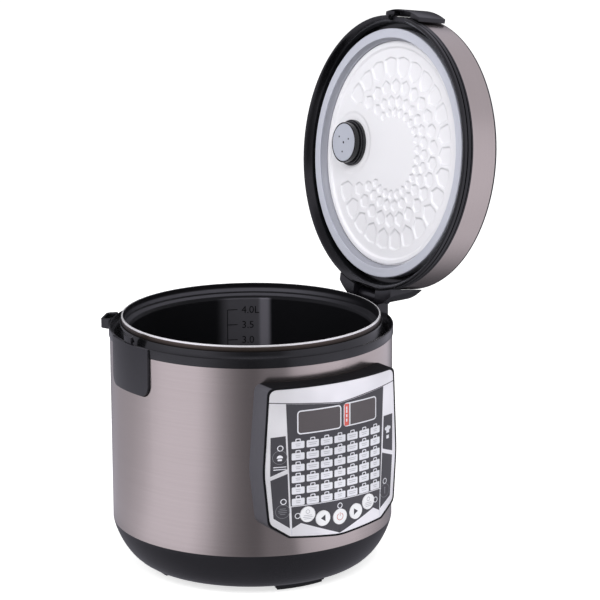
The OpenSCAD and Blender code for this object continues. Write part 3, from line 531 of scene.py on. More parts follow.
def turned(name, outline, sides=192, centre=(0, 0)):
    """A closed outline of (radius, height) in mm, turned round an upright axis. Radius 0 is a pole."""
    form = bmesh.new()
    rows = []
    for radius, height in outline:
        if radius < 1e-6:
            rows.append([form.verts.new((centre[0] * MM, centre[1] * MM, height * MM))] * sides)
            continue
        row = []
        for i in range(sides):
            a = 2 * math.pi * i / sides
            x = centre[0] + radius * math.cos(a)
            y = centre[1] + radius * math.sin(a)
            row.append(form.verts.new((x * MM, y * MM, height * MM)))
        rows.append(row)
    for k, row in enumerate(rows):
        above = rows[(k + 1) % len(rows)]
        for i in range(sides):
            j = (i + 1) % sides
            corners = list(dict.fromkeys([row[i], row[j], above[j], above[i]]))
            if len(corners) > 2:
                form.faces.new(corners)
    bmesh.ops.recalc_face_normals(form, faces=form.faces[:])
    return smoothed(finished_mesh(name, form))


def joined(name, meshes):
    """Several meshes as one."""
    whole = bmesh.new()
    for mesh in meshes:
        whole.from_mesh(mesh)
        bpy.data.meshes.remove(mesh)
    return smoothed(finished_mesh(name, whole))


def last_mesh(holder):
    """The mesh that an object ends up with. The object itself is thrown away."""
    bpy.context.view_layer.update()
    shown = holder.evaluated_get(bpy.context.evaluated_depsgraph_get())
    mesh = bpy.data.meshes.new_from_object(shown)
    bpy.data.objects.remove(holder)
    return mesh


def worked(mesh, *fittings):
    """A mesh after its modifiers, each given as (kind, settings)."""
    holder = placed(mesh.name, mesh)
    for kind, settings in fittings:
        modifier = holder.modifiers.new(kind.lower(), kind)
        for key, value in settings.items():
            if key.startswith("Socket"):
                modifier[key] = value
            else:
                setattr(modifier, key, value)
    made = last_mesh(holder)
    name = mesh.name
    bpy.data.meshes.remove(mesh)
    made.name = name
    return made


def slot_of(node):
    """The record's material slot of a CAD node."""
    parts = frame["record"]["subparts"]
    return next(part["material_slot"] for part in parts if part["node"] == node)


def eased(node, body, width, look, sharp=35, flat=45):
    """A CAD piece with its edges rounded, in the place of the plain one."""
    form = bmesh.new()
    form.from_mesh(frame["nodes"][node].data)
    bmesh.ops.remove_doubles(form, verts=form.verts[:], dist=2e-5)
    bmesh.ops.dissolve_degenerate(form, edges=form.edges[:], dist=1e-5)
    flush = math.radians(0.8)
    bmesh.ops.dissolve_limit(form, angle_limit=flush, verts=form.verts[:], edges=form.edges[:])
    mesh = finished_mesh(node + "_eased", form)
    bevel = {
        "width": width * MM,
        "segments": 3,
        "limit_method": "ANGLE",
        "angle_limit": math.radians(sharp),
        "miter_outer": "MITER_ARC",
        "use_clamp_overlap": True,
    }
    made = smoothed(worked(mesh, ("BEVEL", bevel)), flat)
    piece(made.name, made, body, look, node)


def on_face(u, z, lift):
    """A point on the panel's curved face, in mm: u from its middle, z up from the wrap's top edge."""
    u = u * MM
    radius = panel_r + lift * MM
    return Vector((u, panel_y - math.sqrt(radius * radius - u * u), top_z + z * MM))


def filled(sheet, outlines):
    """Fills the first outline in a sheet, and leaves the others open as holes in it."""
    edges = []
    for outline in outlines:
        verts = [sheet.verts.new((u, 0, z)) for u, z in outline]
        for i, vert in enumerate(verts):
            edges.append(sheet.edges.new((verts[i - 1], vert)))
    bmesh.ops.triangle_fill(sheet, use_beauty=True, edges=edges)


def printed(name, shapes, lift, look, body="cooker_body", place=on_face, pierced=()):
    """Flat shapes, each a list of (u, z) points in mm, laid on the panel's face as one print."""
    sheet = bmesh.new()
    for shape in shapes:
        sheet.faces.new([sheet.verts.new((u, 0, z)) for u, z in shape])
    if pierced:
        filled(sheet, pierced)
    bmesh.ops.triangulate(sheet, faces=sheet.faces[:])
    widest = max(abs(v.co.x) for v in sheet.verts)
    strip = 3.0
    cut = -math.floor(widest / strip) * strip
    while cut < widest:
        everything = sheet.verts[:] + sheet.edges[:] + sheet.faces[:]
        bmesh.ops.bisect_plane(sheet, geom=everything, plane_co=(cut, 0, 0), plane_no=(1, 0, 0))
        cut += strip
    for vert in sheet.verts:
        vert.co = place(vert.co.x, vert.co.z, lift)
    bmesh.ops.recalc_face_normals(sheet, faces=sheet.faces[:])
    for face in sheet.faces:
        if face.normal.y > 0:
            face.normal_flip()
        face.smooth = True
    piece(name, finished_mesh(name, sheet), body, look)


def turn_points(centre, radius, start, end, steps):
    """Points round an arc, angles in degrees."""
    points = []
    for i in range(steps + 1):
        a = math.radians(start + (end - start) * i / steps)
        points.append((centre[0] + radius * math.cos(a), centre[1] + radius * math.sin(a)))
    return points


def round_box(left, bottom, right, top, radius, steps=5):
    """The outline of a box with round corners."""
    corners = [(left, bottom, 180), (right, bottom, 270), (right, top, 0), (left, top, 90)]
    points = []
    for x, y, start in corners:
        cx = x + radius if x == left else x - radius
        cy = y + radius if y == bottom else y - radius
        points += turn_points((cx, cy), radius, start, start + 90, steps)
    return points


def rim(outer, inner):
    """Quads between two outlines that have as many points as each other."""
    count = len(outer)
    pairs = [(i, (i + 1) % count) for i in range(count)]
    return [[outer[i], outer[j], inner[j], inner[i]] for i, j in pairs]


def ring(centre, outer, inner, steps=28):
    """A flat ring as quads."""
    full = turn_points(centre, outer, 0, 360 - 360 / steps, steps - 1)
    return rim(full, turn_points(centre, inner, 0, 360 - 360 / steps, steps - 1))


def line(start, end, width):
    """A straight stroke."""
    (x1, y1), (x2, y2) = start, end
    long = math.hypot(x2 - x1, y2 - y1)
    nx = -(y2 - y1) / long * width / 2
    ny = (x2 - x1) / long * width / 2
    return [(x1 - nx, y1 - ny), (x2 - nx, y2 - ny), (x2 + nx, y2 + ny), (x1 + nx, y1 + ny)]


# ---------- the panel's print ----------

# Places on the panel's face, in mm: across from its middle, and up from the wrap's top edge
lamp_spots = [
    (-54.3, -64.9), (-51.9, -111.9), (-39.8, -125.6), (0, -122.4), (39.8, -125.6), (51.9, -111.9),
]
button_spots = {
    "button_back": (-31, -125.2), "button_minus": (-16.8, -130.7), "button_power": (0, -132.1),
    "button_plus": (16.8, -130.7), "button_start": (31, -125.2),
}
button_proud = 0.3
button_hole_r = 7.2
badge_spots = [(-54.7, -72.9), (-52.6, -120.5), (51.9, -120.5)]
label_pitch = 13.09
label_drop = 9.97
first_label_z = -63.3
label_spots = [
    (column * label_pitch, first_label_z - row * label_drop)
    for row in range(6) for column in range(-3, 4)
]


def print_dark_fields():
    """The dark grounds behind the labels, the lamps, the buttons and the two windows."""
    left_pockets = [
        [(-62.1, -55.2), (-49.8, -54.5), (-48.5, -83.5), (-62.6, -89.2)],
        [(-62.5, -92.6), (-48.3, -87.6), (-46.6, -135.9), (-60.1, -126.1)],
    ]
    right_pockets = [
        [(50.1, -53.5), (62, -53.8), (62.1, -87.2), (48.9, -82.2)],
        [(48.2, -85.6), (62, -90.8), (59.1, -126.7), (45.7, -134.9)],
    ]
    middle = [
        (-49.4, -26.9), (-28, -29.0), (0, -32.1), (28, -29.0), (49.4, -26.9),
        (45.9, -116.6), (-45.9, -116.6),
    ]
    foot = [
        (-45.7, -117.2), (-44.9, -136.4), (-37, -132.2), (0, -146.6), (37, -132.2),
        (44.9, -136.4), (45.7, -117.2),
    ]
    openings = [turn_points(spot, button_hole_r, 0, 350, 35) for spot in button_spots.values()]
    fields = left_pockets + right_pockets + [middle]
    printed("panel_print_dark", fields, 0.04, "print_dark", pierced=[foot] + openings)
    left_window = round_box(-38.9, -53.3, 0.3, -34.7, 2.2)
    right_window = round_box(4.9, -52.7, 39.3, -34.1, 2.2)
    printed("panel_window_glass", [left_window, right_window], 0.07, "dark_window")


def print_divider():
    """The line under the panel's plain top strip."""
    strokes = [
        line((-63.6, -25), (-28, -28.4), 0.7),
        line((-28, -28.4), (0, -31.5), 0.7),
        line((0, -31.5), (28, -28.4), 0.7),
        line((28, -28.4), (63.6, -25), 0.7),
    ]
    printed("panel_divider", strokes, 0.06, "print_dark")


def window_frame(left, right, bottom, top):
    """The light line round a display window."""
    outer = round_box(left, bottom, right, top, 3.2)
    inner = round_box(left + 1.1, bottom + 1.1, right - 1.1, top - 1.1, 2.2)
    return rim(outer, inner)


def label(u, z):
    """One programme label: a plate with a small loop over it."""
    plate = round_box(u - 5.6, z - 3.1, u + 5.6, z + 3.1, 0.9, 3)
    outer = round_box(u - 2.3, z + 2.7, u + 2.3, z + 5.5, 0.9, 3)
    inner = round_box(u - 1.5, z + 2.7, u + 1.5, z + 4.7, 0.5, 3)
    return [plate] + rim(outer, inner)


def print_light_lines():
    """The window frames, the labels, the lines round the buttons, and a ring at each lamp."""
    shapes = window_frame(-40, 1.4, -54.4, -33.6) + window_frame(3.8, 40.4, -53.8, -33)
    for u, z in label_spots:
        shapes += label(u, z)
    shapes.append(line((-45.6, -117), (45.6, -117), 0.5))
    for side in (-1, 1):
        shapes.append(line((side * 45.8, -117), (side * 45, -141.8), 0.8))
    for spot in lamp_spots:
        shapes += ring(spot, 2.6, 1.9)
    printed("panel_print_light", shapes, 0.08, "print_white")


def print_label_marks():
    """Short strokes on the labels, in place of words."""
    strokes = []
    for u, z in label_spots:
        column = round(u / label_pitch)
        wide = 2.2 + 0.9 * (column * 2 % 3)
        strokes.append(line((u - wide, z + 0.9), (u + wide, z + 0.9), 0.6))
        strokes.append(line((u - wide * 0.8, z - 0.7), (u + wide * 0.8, z - 0.7), 0.6))
    printed("panel_label_marks", strokes, 0.12, "print_pale")


def print_badges():
    """Rings with small plain signs in them: a bowl, dashes, a drop, and a cook's hat."""
    rings = []
    for spot in badge_spots:
        rings += ring(spot, 6.1, 5.7, 40)
    printed("panel_badge_rings", rings, 0.08, "print_faint")
    signs = []
    u, z = badge_spots[0]
    signs.append(turn_points((u, z - 0.6), 2.6, 0, 180, 12))
    signs.append(round_box(u - 1.8, z - 3, u + 1.8, z - 1.4, 0.4, 3))
    for step in range(2):
        signs.append(line((u - 5.4, z - 8.4 - 2.1 * step), (u + 5.4, z - 8.4 - 2.1 * step), 0.7))
    hat_u, hat_z = 55.6, -66.6
    signs.append(round_box(hat_u - 2, hat_z - 3, hat_u + 2, hat_z + 1, 0.3, 3))
    for lobe in (-2.3, 0, 2.3):
        signs.append(turn_points((hat_u + lobe, hat_z + 2 - 0.35 * abs(lobe)), 1.6, 0, 345, 20))
    signs.append(round_box(hat_u - 1.7, hat_z - 8, hat_u + 1.7, hat_z - 5, 0.3, 3))
    printed("panel_signs", signs, 0.1, "print_white")
    faint = []
    u, z = badge_spots[1]
    for step, wide in enumerate((2.6, 3.8, 3.4, 2.2)):
        faint.append(line((u - wide, z + 2.4 - 1.6 * step), (u + wide, z + 2.4 - 1.6 * step), 0.6))
    u, z = badge_spots[2]
    faint.append(line((u, z - 2.8), (u, z + 1.4), 1.1))
    faint.append(turn_points((u, z + 2.4), 0.9, 0, 330, 11))
    printed("panel_faint_signs", faint, 0.1, "print_faint")


def on_button(node):
    """Lays a sign on a button's face: across and up from the button's own middle, in mm."""
    middle_u, middle_z = button_spots[node]
    def lay(u, z, lift):
        return on_face(middle_u + u, middle_z + z, button_proud + lift)
    return lay


def print_buttons():
    """The signs on the five buttons."""
    back = [[(2.2, 2.9), (2.2, -2.9), (-2.2, 0)]]
    forth = [[(-2.2, -2.9), (-2.2, 2.9), (2.2, 0)]]
    printed("sign_minus", back, 0.08, "print_dark", "button_minus", on_button("button_minus"))
    printed("sign_plus", forth, 0.08, "print_dark", "button_plus", on_button("button_plus"))
    outer = turn_points((0, 0), 3.3, 115, 425, 30)
    inner = turn_points((0, 0), 2.7, 115, 425, 30)
    power = rim(outer, inner)[:-1] + [line((0, 0.6), (0, 3.7), 0.6)]
    printed("sign_power", power, 0.08, "print_dull_red", "button_power", on_button("button_power"))
    for node in ("button_back", "button_start"):
        marks = ring((0, 2.4), 1.9, 1.4, 20)
        for step, wide in enumerate((3.6, 4.4, 3.2)):
            marks.append(line((-wide, -0.9 - 1.5 * step), (wide, -0.9 - 1.5 * step), 0.5))
        printed("sign_" + node.removeprefix("button_"), marks, 0.08, "print_pale", node, on_button(node))


def print_red_strip():
    """The red scale beside the right window, its dashes and its light edge."""
    printed("panel_red_strip", [round_box(4.6, -53, 9.1, -33.8, 0.8)], 0.12, "print_red")
    printed("panel_strip_edge", [line((10.2, -53.3), (10.2, -33.5), 1.2)], 0.12, "print_white")
    dashes = [line((6.9, z), (6.9, z + 2.6), 1.3) for z in (-49.5, -45.6, -41.7, -38.9)]
    printed("panel_strip_marks", dashes, 0.15, "print_white")


def dress_panel():
    """Lays the whole print on the control panel and its buttons."""
    print_dark_fields()
    print_divider()
    print_light_lines()
    print_label_marks()
    print_badges()
    print_red_strip()
    print_buttons()


# ---------- the lid's inner plate ----------

cell_pitch = 2 * math.pi / 26
cell_fill = 0.88
cell_depth = 1.1
cell_edge = 1.2
cell_crease = 0.9
# Rows of pressed cells: distance from the middle, length, how many
cell_rows = [(36.8, 9.4, 19), (46.7, 11.5, 20), (59.8, 14.4, 21), (77.0, 19.8, 22)]
# As parts of a cell's length: its pointed ends, what the last row's outer ends add, its soft corners
cell_shoulder = 0.22
last_shoulder = 0.19
cell_softness = 0.13
valve_seat_r = 28.0
valve_seat_edge = 1.3
valve_seat_depth = 0.6


def stamped_aluminium(name):
    """Satin aluminium, creased along the edges of the pressed cells, with painted shade that makes those edges a
    little darker.
    """
    def surface(nodes):
        place = nodes.place()
        across = lid_place.to_3x3() @ Vector((1, 0, 0))
        x = (nodes.dot(place, tuple(across)) - across.dot(lid_place.translation)) / MM
        y = nodes.split(place)[1] / MM
        radius = (x * x + y * y).root()
        bearing = x.calc("ARCTAN2", 0 - y)
        pressed = all_cells(nodes, radius, bearing, cell_crease)
        # Painted shade: the cells' sloping edges are darkened in the base colour.
        edge = pressed * (1 - pressed) * 4
        cloud = slow_cloud(nodes, place)
        spots = fine_grain(nodes, place)
        satin = nodes.blend(cloud, shade(238, 237, 242), shade(243, 242, 247))
        return {
            "Base Color": nodes.blend(edge * 0.14, satin, shade(190, 190, 199)),
            "Roughness": 0.3 + spots * 0.08 + edge * 0.1,
            "Normal": nodes.bump(spots * 0.04 - pressed, 0.8, 0.0005),
        }
    return finish(name, {}, surface)


def socket_name(tree, label):
    """A named input's own identifier."""
    return next(item.identifier for item in tree.interface.items_tree if item.name == label)


def row_of_cells(nodes, radius, bearing, size, row):
    """How deep one row's cells are at each point, from 0 outside a cell to 1 on its floor."""
    middle, length, count = row
    shift = 0.5 * (1 - count % 2)
    turns = bearing / cell_pitch + shift
    index = turns.calc("ROUND")
    aside = abs(turns - index) * cell_pitch * radius
    kept = abs(index - shift) < (count / 2)
    half = radius * (cell_fill * cell_pitch / 2)
    outward = radius - middle
    shoulder = cell_shoulder * length
    if row == cell_rows[-1]:
        shoulder = shoulder + (outward > 0) * last_shoulder * length
    reach = length / 2 - shoulder
    to_side = half - aside
    slant = (half * half + reach * reach).root()
    to_tip = ((length / 2 - abs(outward)) * half - aside * reach) / slant
    inside = nodes.closest(to_side, to_tip, cell_softness * length)
    return nodes.step(inside, 0.0, size) * kept


def all_cells(nodes, radius, bearing, size):
    """How deep the plate is pressed at each point, over all its rows of cells."""
    return sum(row_of_cells(nodes, radius, bearing, size, row) for row in cell_rows)


def pressing():
    """Geometry nodes that press rows of long cells and the valve's seat into a flat disc."""
    tree = bpy.data.node_groups.new("honeycomb_pressing", "GeometryNodeTree")
    interface = tree.interface
    interface.new_socket("Geometry", in_out="INPUT", socket_type="NodeSocketGeometry")
    for label in ("Cell depth", "Edge width", "Face height", "Valve seat radius"):
        interface.new_socket(label, in_out="INPUT", socket_type="NodeSocketFloat")
    interface.new_socket("Geometry", in_out="OUTPUT", socket_type="NodeSocketGeometry")
    nodes = Nodes(tree)
    given = nodes.add("NodeGroupInput").socket.node.outputs
    sheet, depth, edge, face, seat = [Wire(nodes, given[i]) for i in range(5)]
    x, y, w = [part / MM for part in nodes.split(nodes.add("GeometryNodeInputPosition"))]
    radius = (x * x + y * y).root()
    bearing = x.calc("ARCTAN2", 0 - y)
    pressed = all_cells(nodes, radius, bearing, edge)
    off_valve = y - valve_y / MM
    from_valve = (x * x + off_valve * off_valve).root()
    dish = 1 - nodes.step(from_valve, seat - valve_seat_edge, seat + valve_seat_edge)
    front = abs(w - face) < 0.05
    sunk = nodes.vector(z=(pressed * depth + dish * valve_seat_depth) * front * MM)
    moved = nodes.add("GeometryNodeSetPosition", inputs={"Geometry": sheet, "Offset": sunk})
    real = nodes.add("GeometryNodeRealizeInstances", inputs=[moved])
    look = finishes["stamped_aluminium"]
    dressed = nodes.add("GeometryNodeSetMaterial", inputs={"Geometry": real, "Material": look})
    nodes.add("NodeGroupOutput", inputs=[dressed])
    return tree


def pressed_plate():
    """The removable inner plate: a sheet with a rolled rim, pressed with cells."""
    face_r = plate_r - 8.3
    rim_w = plate_w - 1.9
    back_w = plate_w + plate_t
    fine_r = 29
    rows = 80
    flat = [(fine_r + (face_r - fine_r) * i / rows, plate_w) for i in range(rows + 1)]
    front = [(0.0, plate_w), (15.0, plate_w)] + flat
    bend = rounded([
        (face_r, plate_w, 0), (face_r + 2.2, plate_w, 1.8),
        (face_r + 3.6, rim_w, 1.8), (plate_r, rim_w, 0.5),
    ])
    back = [
        (plate_r, rim_w + plate_t), (face_r + 3.4, rim_w + plate_t),
        (face_r + 1.6, back_w), (0.0, back_w),
    ]
    finishes["stamped_aluminium"] = stamped_aluminium("stamped_aluminium")
    tree = pressing()
    sizes = {
        socket_name(tree, "Cell depth"): cell_depth,
        socket_name(tree, "Edge width"): cell_edge,
        socket_name(tree, "Face height"): plate_w,
        socket_name(tree, "Valve seat radius"): valve_seat_r,
    }
    mesh = turned("inner_plate_pressed", front + bend[1:] + back, 624)
    made = worked(mesh, ("NODES", {"node_group": tree, **sizes}))
    made.transform(lid_place)
    smoothed(made, 60)
    piece(made.name, made, "lid", "stamped_aluminium", "inner_plate")


# ---------- gasket, valve and pot ----------

def lid_seal():
    """The silicone ring: a rounded lip, a soft roll and an inner wall."""
    wall_in = plate_r + 0.3
    outline = rounded([
        (gasket_in_r, gasket_w + 0.1, 0.7), (gasket_in_r + 4.4, gasket_w + 0.25, 2),
        (gasket_r, gasket_w, 1.2), (gasket_r, gasket_foot_w, 0.3),
        (wall_in, gasket_foot_w, 0.3), (wall_in, plate_w - 2, 0.5),
        (wall_in + 1.4, plate_w - 1.9, 0.5), (gasket_in_r + 1.6, gasket_w + 2.2, 1.0),
    ])
    ring_mesh = turned("lid_gasket_ring", outline, 256)
    on_lid(ring_mesh, "grey_silicone", "lid_gasket")


def steam_valve():
    """The valve on the plate: a black stepped collar, and a pale cap with a fine rim and three holes, drawn as
    thin near-black discs of painted shade.
    """
    centre = (0, valve_y / MM)
    sides = 128
    collar = rounded([
        (9, plate_w + 0.5, 0), (9, plate_w - 4.2, 0), (valve_r - 1.2, plate_w - 4.2, 0.5),
        (valve_r - 1.2, plate_w - 2.4, 0.3), (valve_r, plate_w - 2.4, 0.4), (valve_r, plate_w + 0.5, 0),
    ])
    collar_mesh = turned("valve_collar", collar, sides, centre)
    on_lid(collar_mesh, "gloss_black_plastic", "valve_base")
    drum = rounded([
        (0, cap_w + 0.5, 0), (cap_r - 0.9, cap_w + 0.5, 0), (cap_r - 0.9, cap_w + 0.2, 0.1),
        (cap_r, cap_w + 0.2, 0.7), (cap_r, plate_w - 4.3, 0.2), (0, plate_w - 4.3, 0),
    ])
    drum_mesh = turned("valve_drum", drum, sides, centre)
    on_lid(drum_mesh, "gloss_black_plastic")
    face = rounded([
        (1.2, cap_w + 0.7, 0), (1.2, cap_w, 0.3), (cap_r - 1.6, cap_w, 0.5),
        (cap_r - 1.2, cap_w + 0.5, 0.2), (cap_r - 1.2, cap_w + 0.7, 0),
    ])
    on_lid(turned("valve_face", face, sides, centre), "valve_grey", "valve_cap")
    # Painted shade: each hole is a thin near-black disc laid on the cap, not cut into it.
    hole_r = 0.9
    from_centre = 8.5
    front = cap_w - 0.02
    back = cap_w + 0.1
    hole = [(0, front), (hole_r, front), (hole_r, back), (0, back)]
    spots = turn_points(centre, from_centre, 0, 240, 2)
    holes = joined("valve_hole_shades", [turned("valve_hole", hole, 24, spot) for spot in spots])
    on_lid(holes, "pot_mark")


def cooking_pot():
    """The pot with a rolled rim, a stepped flange and a rounded floor."""
    top = pot_rim_z / MM
    floor = top - pot_depth
    seat = top - flange_depth
    rim_in = pot_rim_r - pot_t
    outline = rounded([
        (0, floor, 0), (pot_r, floor, pot_corner), (pot_r, seat - 4.5, 1), (pot_r + 1.2, seat - 2, 1),
        (rim_in - 0.8, seat - 0.3, 0.8), (rim_in, seat + 0.8, 0.8), (rim_in, top, 0.9),
        (pot_rim_r, top, 0.9), (pot_rim_r, seat - 1.2, 0.3), (pot_rim_r - 0.8, seat - pot_t - 0.2, 0.5),
        (pot_r + pot_t + 0.7, seat - pot_t - 2, 1), (pot_r + pot_t, seat - pot_t - 4.5, 1),
        (pot_r + pot_t, floor - pot_t, pot_corner + pot_t), (0, floor - pot_t, 0),
    ], 8)
    mesh = turned("inner_pot_turned", outline, 320)
    piece("inner_pot_turned", mesh, "pot", "pot_coating", "inner_pot")


# The level marks inside the pot, in mm: half a litre from one to the next, and the 4.0 mark's height
mark_bearing = math.radians(69.5)
mark_step = 14.2
top_mark = 201.75
mark_numbers = ["4.0L", "3.5", "3.0"]
mark_width = 0.7
mark_lift = 0.06
number_size = 9.6
number_across = 13
number_drop = 3.4


def on_pot_wall(across, height, lift):
    """A point inside the pot, in mm: across runs round the wall to the right, seen from inside."""
    a = mark_bearing - across / pot_r
    r = pot_r - lift
    return Vector((r * math.cos(a) * MM, r * math.sin(a) * MM, height * MM))


def digits(words, size):
    """Numbers as a flat mesh."""
    curve = bpy.data.curves.new("level_number", "FONT")
    curve.body = words
    curve.size = size
    curve.resolution_u = 3
    return last_mesh(placed("level_number", curve))


def pot_level_marks():
    """A scale inside the pot: an upright line, a tick at each level, and its number."""
    marks = bmesh.new()
    def stroke(start, end):
        points = line(start, end, mark_width)
        marks.faces.new([marks.verts.new(on_pot_wall(u, z, mark_lift)) for u, z in points])
    # Long strokes are made of short ones, to follow the round wall
    piece_up = 4
    piece_across = 4.5
    for part in range(30):
        top = top_mark - piece_up * part
        stroke((0, top - piece_up), (0, top))
    for step in range(8):
        height = top_mark - mark_step * step
        for part in range(2):
            stroke((0.3 + piece_across * part, height), (0.3 + piece_across * (part + 1), height))
    for step, words in enumerate(mark_numbers):
        height = top_mark - mark_step * step
        foot = height - number_drop
        flat = digits(words, number_size)
        for vert in flat.vertices:
            vert.co = on_pot_wall(number_across + vert.co.x, foot + vert.co.y, mark_lift)
        marks.from_mesh(flat)
        bpy.data.meshes.remove(flat)
    for face in marks.faces:
        inward = face.calc_center_median()
        face.normal_update()
        if face.normal.x * inward.x + face.normal.y * inward.y > 0:
            face.normal_flip()
    mesh = finished_mesh("pot_level_marks", marks)
    piece("pot_level_marks", mesh, "pot", "pot_mark")


def ease_edges():
    """Moulded and pressed pieces whose edges are rounded."""
    eased("panel_bezel", "cooker_body", 0.4, "bezel_plastic", 20, 16)
    for node, body, width in [
        ("top_ring", "cooker_body", 0.5),
        ("spoon_loop", "cooker_body", 1.0),
        ("release_tab", "latch_lever", 0.7),
        ("latch_hook", "latch_lever", 0.3),
        ("latch_cover", "lid", 0.5),
        ("hinge_cover", "lid", 1.2),
        ("lid_frame", "lid", 0.35),
        ("lid_top", "lid", 0.6),
    ]:
        eased(node, body, width, slot_of(node))


def hinge_axle():
    """The hinge's pin, ending flush with the cover's curved sides."""
    half = 23
    axle_r = 2.5
    outline = rounded([(0, -half, 0), (axle_r, -half, 0.6), (axle_r, half, 0.6), (0, half, 0)])
    mesh = turned("hinge_axle", outline, 48)
    mesh.transform(Matrix.Translation(hinge) @ Matrix.Rotation(math.radians(90), 4, "X"))
    piece("hinge_axle", mesh, "cooker_body", "blackened_steel", "hinge_pin")


# ---------- studio ----------

tent_facing = math.radians(236.67)
# Brightness round the tent, from half a turn to the left of the camera to half a turn to the right
tent_levels = [
    (0.0, 0.08), (0.05, 0.1), (0.08, 0.36), (0.126, 0.48), (0.17, 0.5), (0.22, 0.56), (0.26, 0.7),
    (0.3, 0.96), (0.33, 1.0), (0.39, 1.0), (0.418, 0.74), (0.444, 0.42), (0.472, 0.24), (0.5, 0.16),
    (0.513, 0.16), (0.53, 0.26), (0.575, 0.29), (0.588, 0.62), (0.61, 0.74), (0.64, 0.86),
    (0.7, 0.92), (0.72, 0.8), (0.88, 0.8), (0.92, 0.3), (0.95, 0.1), (1.0, 0.06),
]
# Where the roof starts and its dark middle ends, in metres
roof_heights = (1.2, 2.1)
roof_radii = (1.4, 2.4)
# The dark places on the table: one at the cooker's foot, one behind it
low_heights = (0.1, 0.2)
foot_radii = (0.15, 0.25)
behind_x = 0.36
behind_y = 0.16
behind_radii = (0.08, 0.42)


def stage_piece(name, points, faces, material):
    """Something that stands in the studio and isn't part of the cooker."""
    mesh = bpy.data.meshes.new(name)
    mesh.from_pydata(points, [], faces)
    mesh.materials.append(material)
    made = placed(name, mesh)
    return made


def studio_floor():
    """A pale floor: white to the camera, and darker where the cooker keeps the light off it."""
    made, nodes = bare_material("pale_floor")
    grain = nodes.noise(nodes.place(), 3.0)
    tone = nodes.blend(grain, grey(0.86), grey(0.88))
    pale = nodes.add("ShaderNodeBsdfDiffuse", inputs={"Color": tone})
    glow = nodes.add("ShaderNodeEmission", inputs={"Color": grey(1), "Strength": 0.68})
    lit = nodes.add("ShaderNodeAddShader", inputs=[pale, glow])
    path = nodes.add("ShaderNodeLightPath", output="Is Camera Ray")
    shader = nodes.add("ShaderNodeMixShader", inputs=[path, pale, lit])
    nodes.add("ShaderNodeOutputMaterial", inputs={"Surface": shader})
    half = 14
    corners = [(-half, -half, 0), (half, -half, 0), (half, half, 0), (-half, half, 0)]
    stage_piece("studio_floor", corners, [(0, 1, 2, 3)], made)


def studio_world():
    """White to the camera and in reflections, and a softer light on everything else."""
    world = bpy.data.worlds.new("studio_world")
    world.use_nodes = True
    world.node_tree.nodes.clear()
    nodes = Nodes(world.node_tree)
    path = nodes.add("ShaderNodeLightPath")
    seen = Wire(nodes, path.socket.node.outputs["Is Camera Ray"])
    for ray in ("Is Glossy Ray", "Is Transmission Ray"):
        seen = seen.calc("MAXIMUM", Wire(nodes, path.socket.node.outputs[ray]))
    soft = nodes.add("ShaderNodeBackground", inputs={"Color": grey(1), "Strength": 0.4})
    white = nodes.add("ShaderNodeBackground", inputs={"Color": grey(1), "Strength": 1.0})
    shader = nodes.add("ShaderNodeMixShader", inputs=[seen, soft, white])
    nodes.add("ShaderNodeOutputWorld", inputs={"Surface": shader})
    bpy.context.scene.world = world


def soft_lamp(name, place, target, size, power):
    """A broad lamp aimed at a point, kept out of reflections."""
    data = bpy.data.lights.new(name, "AREA")
    data.shape = "RECTANGLE"
    data.size, data.size_y = size
    data.energy = power
    lamp = placed(name, data)
    lamp.location = place
    lamp.rotation_euler = (Vector(target) - Vector(place)).to_track_quat("-Z", "Y").to_euler()
    lamp.visible_glossy = False


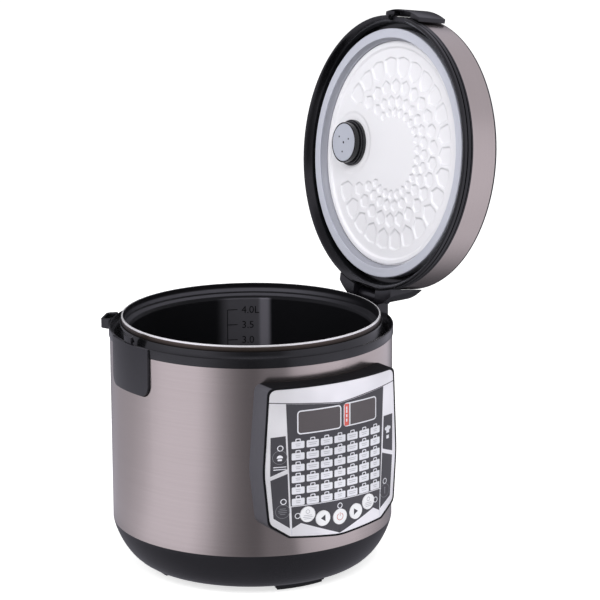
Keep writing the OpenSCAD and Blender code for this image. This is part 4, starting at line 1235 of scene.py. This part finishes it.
def light_tent():
    """The studio as glossy surfaces see it: dark towards the camera, pale to both sides."""
    made, nodes = bare_material("light_tent")
    x, y, z = nodes.split(nodes.place())
    across = x * math.sin(tent_facing) - y * math.cos(tent_facing)
    ahead = x * math.cos(tent_facing) + y * math.sin(tent_facing)
    turn = across.calc("ARCTAN2", ahead) / (2 * math.pi)
    roof = nodes.step(z, *roof_heights)
    level = nodes.blend(roof, nodes.ramp(0.5 - turn, tent_levels), grey(0.7))
    radius = (x * x + y * y).root()
    level = nodes.blend(roof * (1 - nodes.step(radius, *roof_radii)), level, grey(0.3))
    from_x = x - behind_x
    from_y = y - behind_y
    behind = 1 - nodes.step((from_x * from_x + from_y * from_y).root(), *behind_radii)
    low = 1 - nodes.step(z, *low_heights)
    foot = 1 - nodes.step(radius, *foot_radii)
    level = nodes.blend(foot * low, level, grey(0.3))
    level = nodes.blend(behind * low * 0.9, level, grey(0.05))
    level = nodes.tinted(level, (1.0, 0.98, 1.13))
    cloth = nodes.noise(nodes.place(), 2.0) * 0.04 + 0.98
    shader = nodes.add("ShaderNodeEmission", inputs={"Color": level, "Strength": cloth})
    nodes.add("ShaderNodeOutputMaterial", inputs={"Surface": shader})
    table = 0.0004
    wall_r = 3.0
    rings = [
        (0.02, table), (0.6, table), (wall_r, table),
        (wall_r, 1.2), (wall_r, 2.4), (2.2, 3.2), (0.05, 3.4),
    ]
    sides = 96
    points = []
    for radius, height in rings:
        for i in range(sides):
            a = 2 * math.pi * i / sides
            points.append((radius * math.cos(a), radius * math.sin(a), height))
    faces = []
    for row in range(len(rings) - 1):
        below = row * sides
        above = below + sides
        for i in range(sides):
            j = (i + 1) % sides
            faces.append((below + i, below + j, above + j, above + i))
    tent = stage_piece("light_tent", points, faces, made)
    tent.visible_camera = False
    tent.visible_diffuse = False
    tent.visible_shadow = False
    tent.visible_transmission = False


def studio():
    """The floor, the light, and what the shiny pieces reflect."""
    studio_floor()
    studio_world()
    soft_lamp("key_lamp", (-0.9, -2.2, 2.1), (0, 0, 0.2), (1.2, 1.2), 36)
    soft_lamp("side_lamp", (-2.1, -0.25, 1.5), (0.1, 0, 0.3), (1.5, 1.5), 25)
    soft_lamp("fill_lamp", (1.7, -1.8, 1.2), (0, 0, 0.2), (1.4, 1.8), 10)
    soft_lamp("top_lamp", (0.2, 0.3, 2.6), (0, 0, 0.2), (2.0, 2.0), 12)
    light_tent()


def camera():
    """A long lens, a little above the rim, that looks down on the panel and into the pot."""
    data = bpy.data.cameras.new("camera")
    data.sensor_width = 36
    data.lens = 161.2
    made = placed("camera", data)
    aim = Vector((0.53340, 0.81122, -0.23963))
    roll = math.radians(-0.204)
    facing = aim.to_track_quat("-Z", "Y").to_matrix()
    made.location = (-1.21965, -1.93321, 0.80057)
    made.rotation_euler = (facing @ Matrix.Rotation(roll, 3, "Z")).to_euler()
    bpy.context.scene.camera = made


dress_frame()
dress_panel()
pressed_plate()
lid_seal()
steam_valve()
cooking_pot()
pot_level_marks()
ease_edges()
hinge_axle()
studio()
camera()
bpy.context.scene.view_settings.view_transform = "Standard"
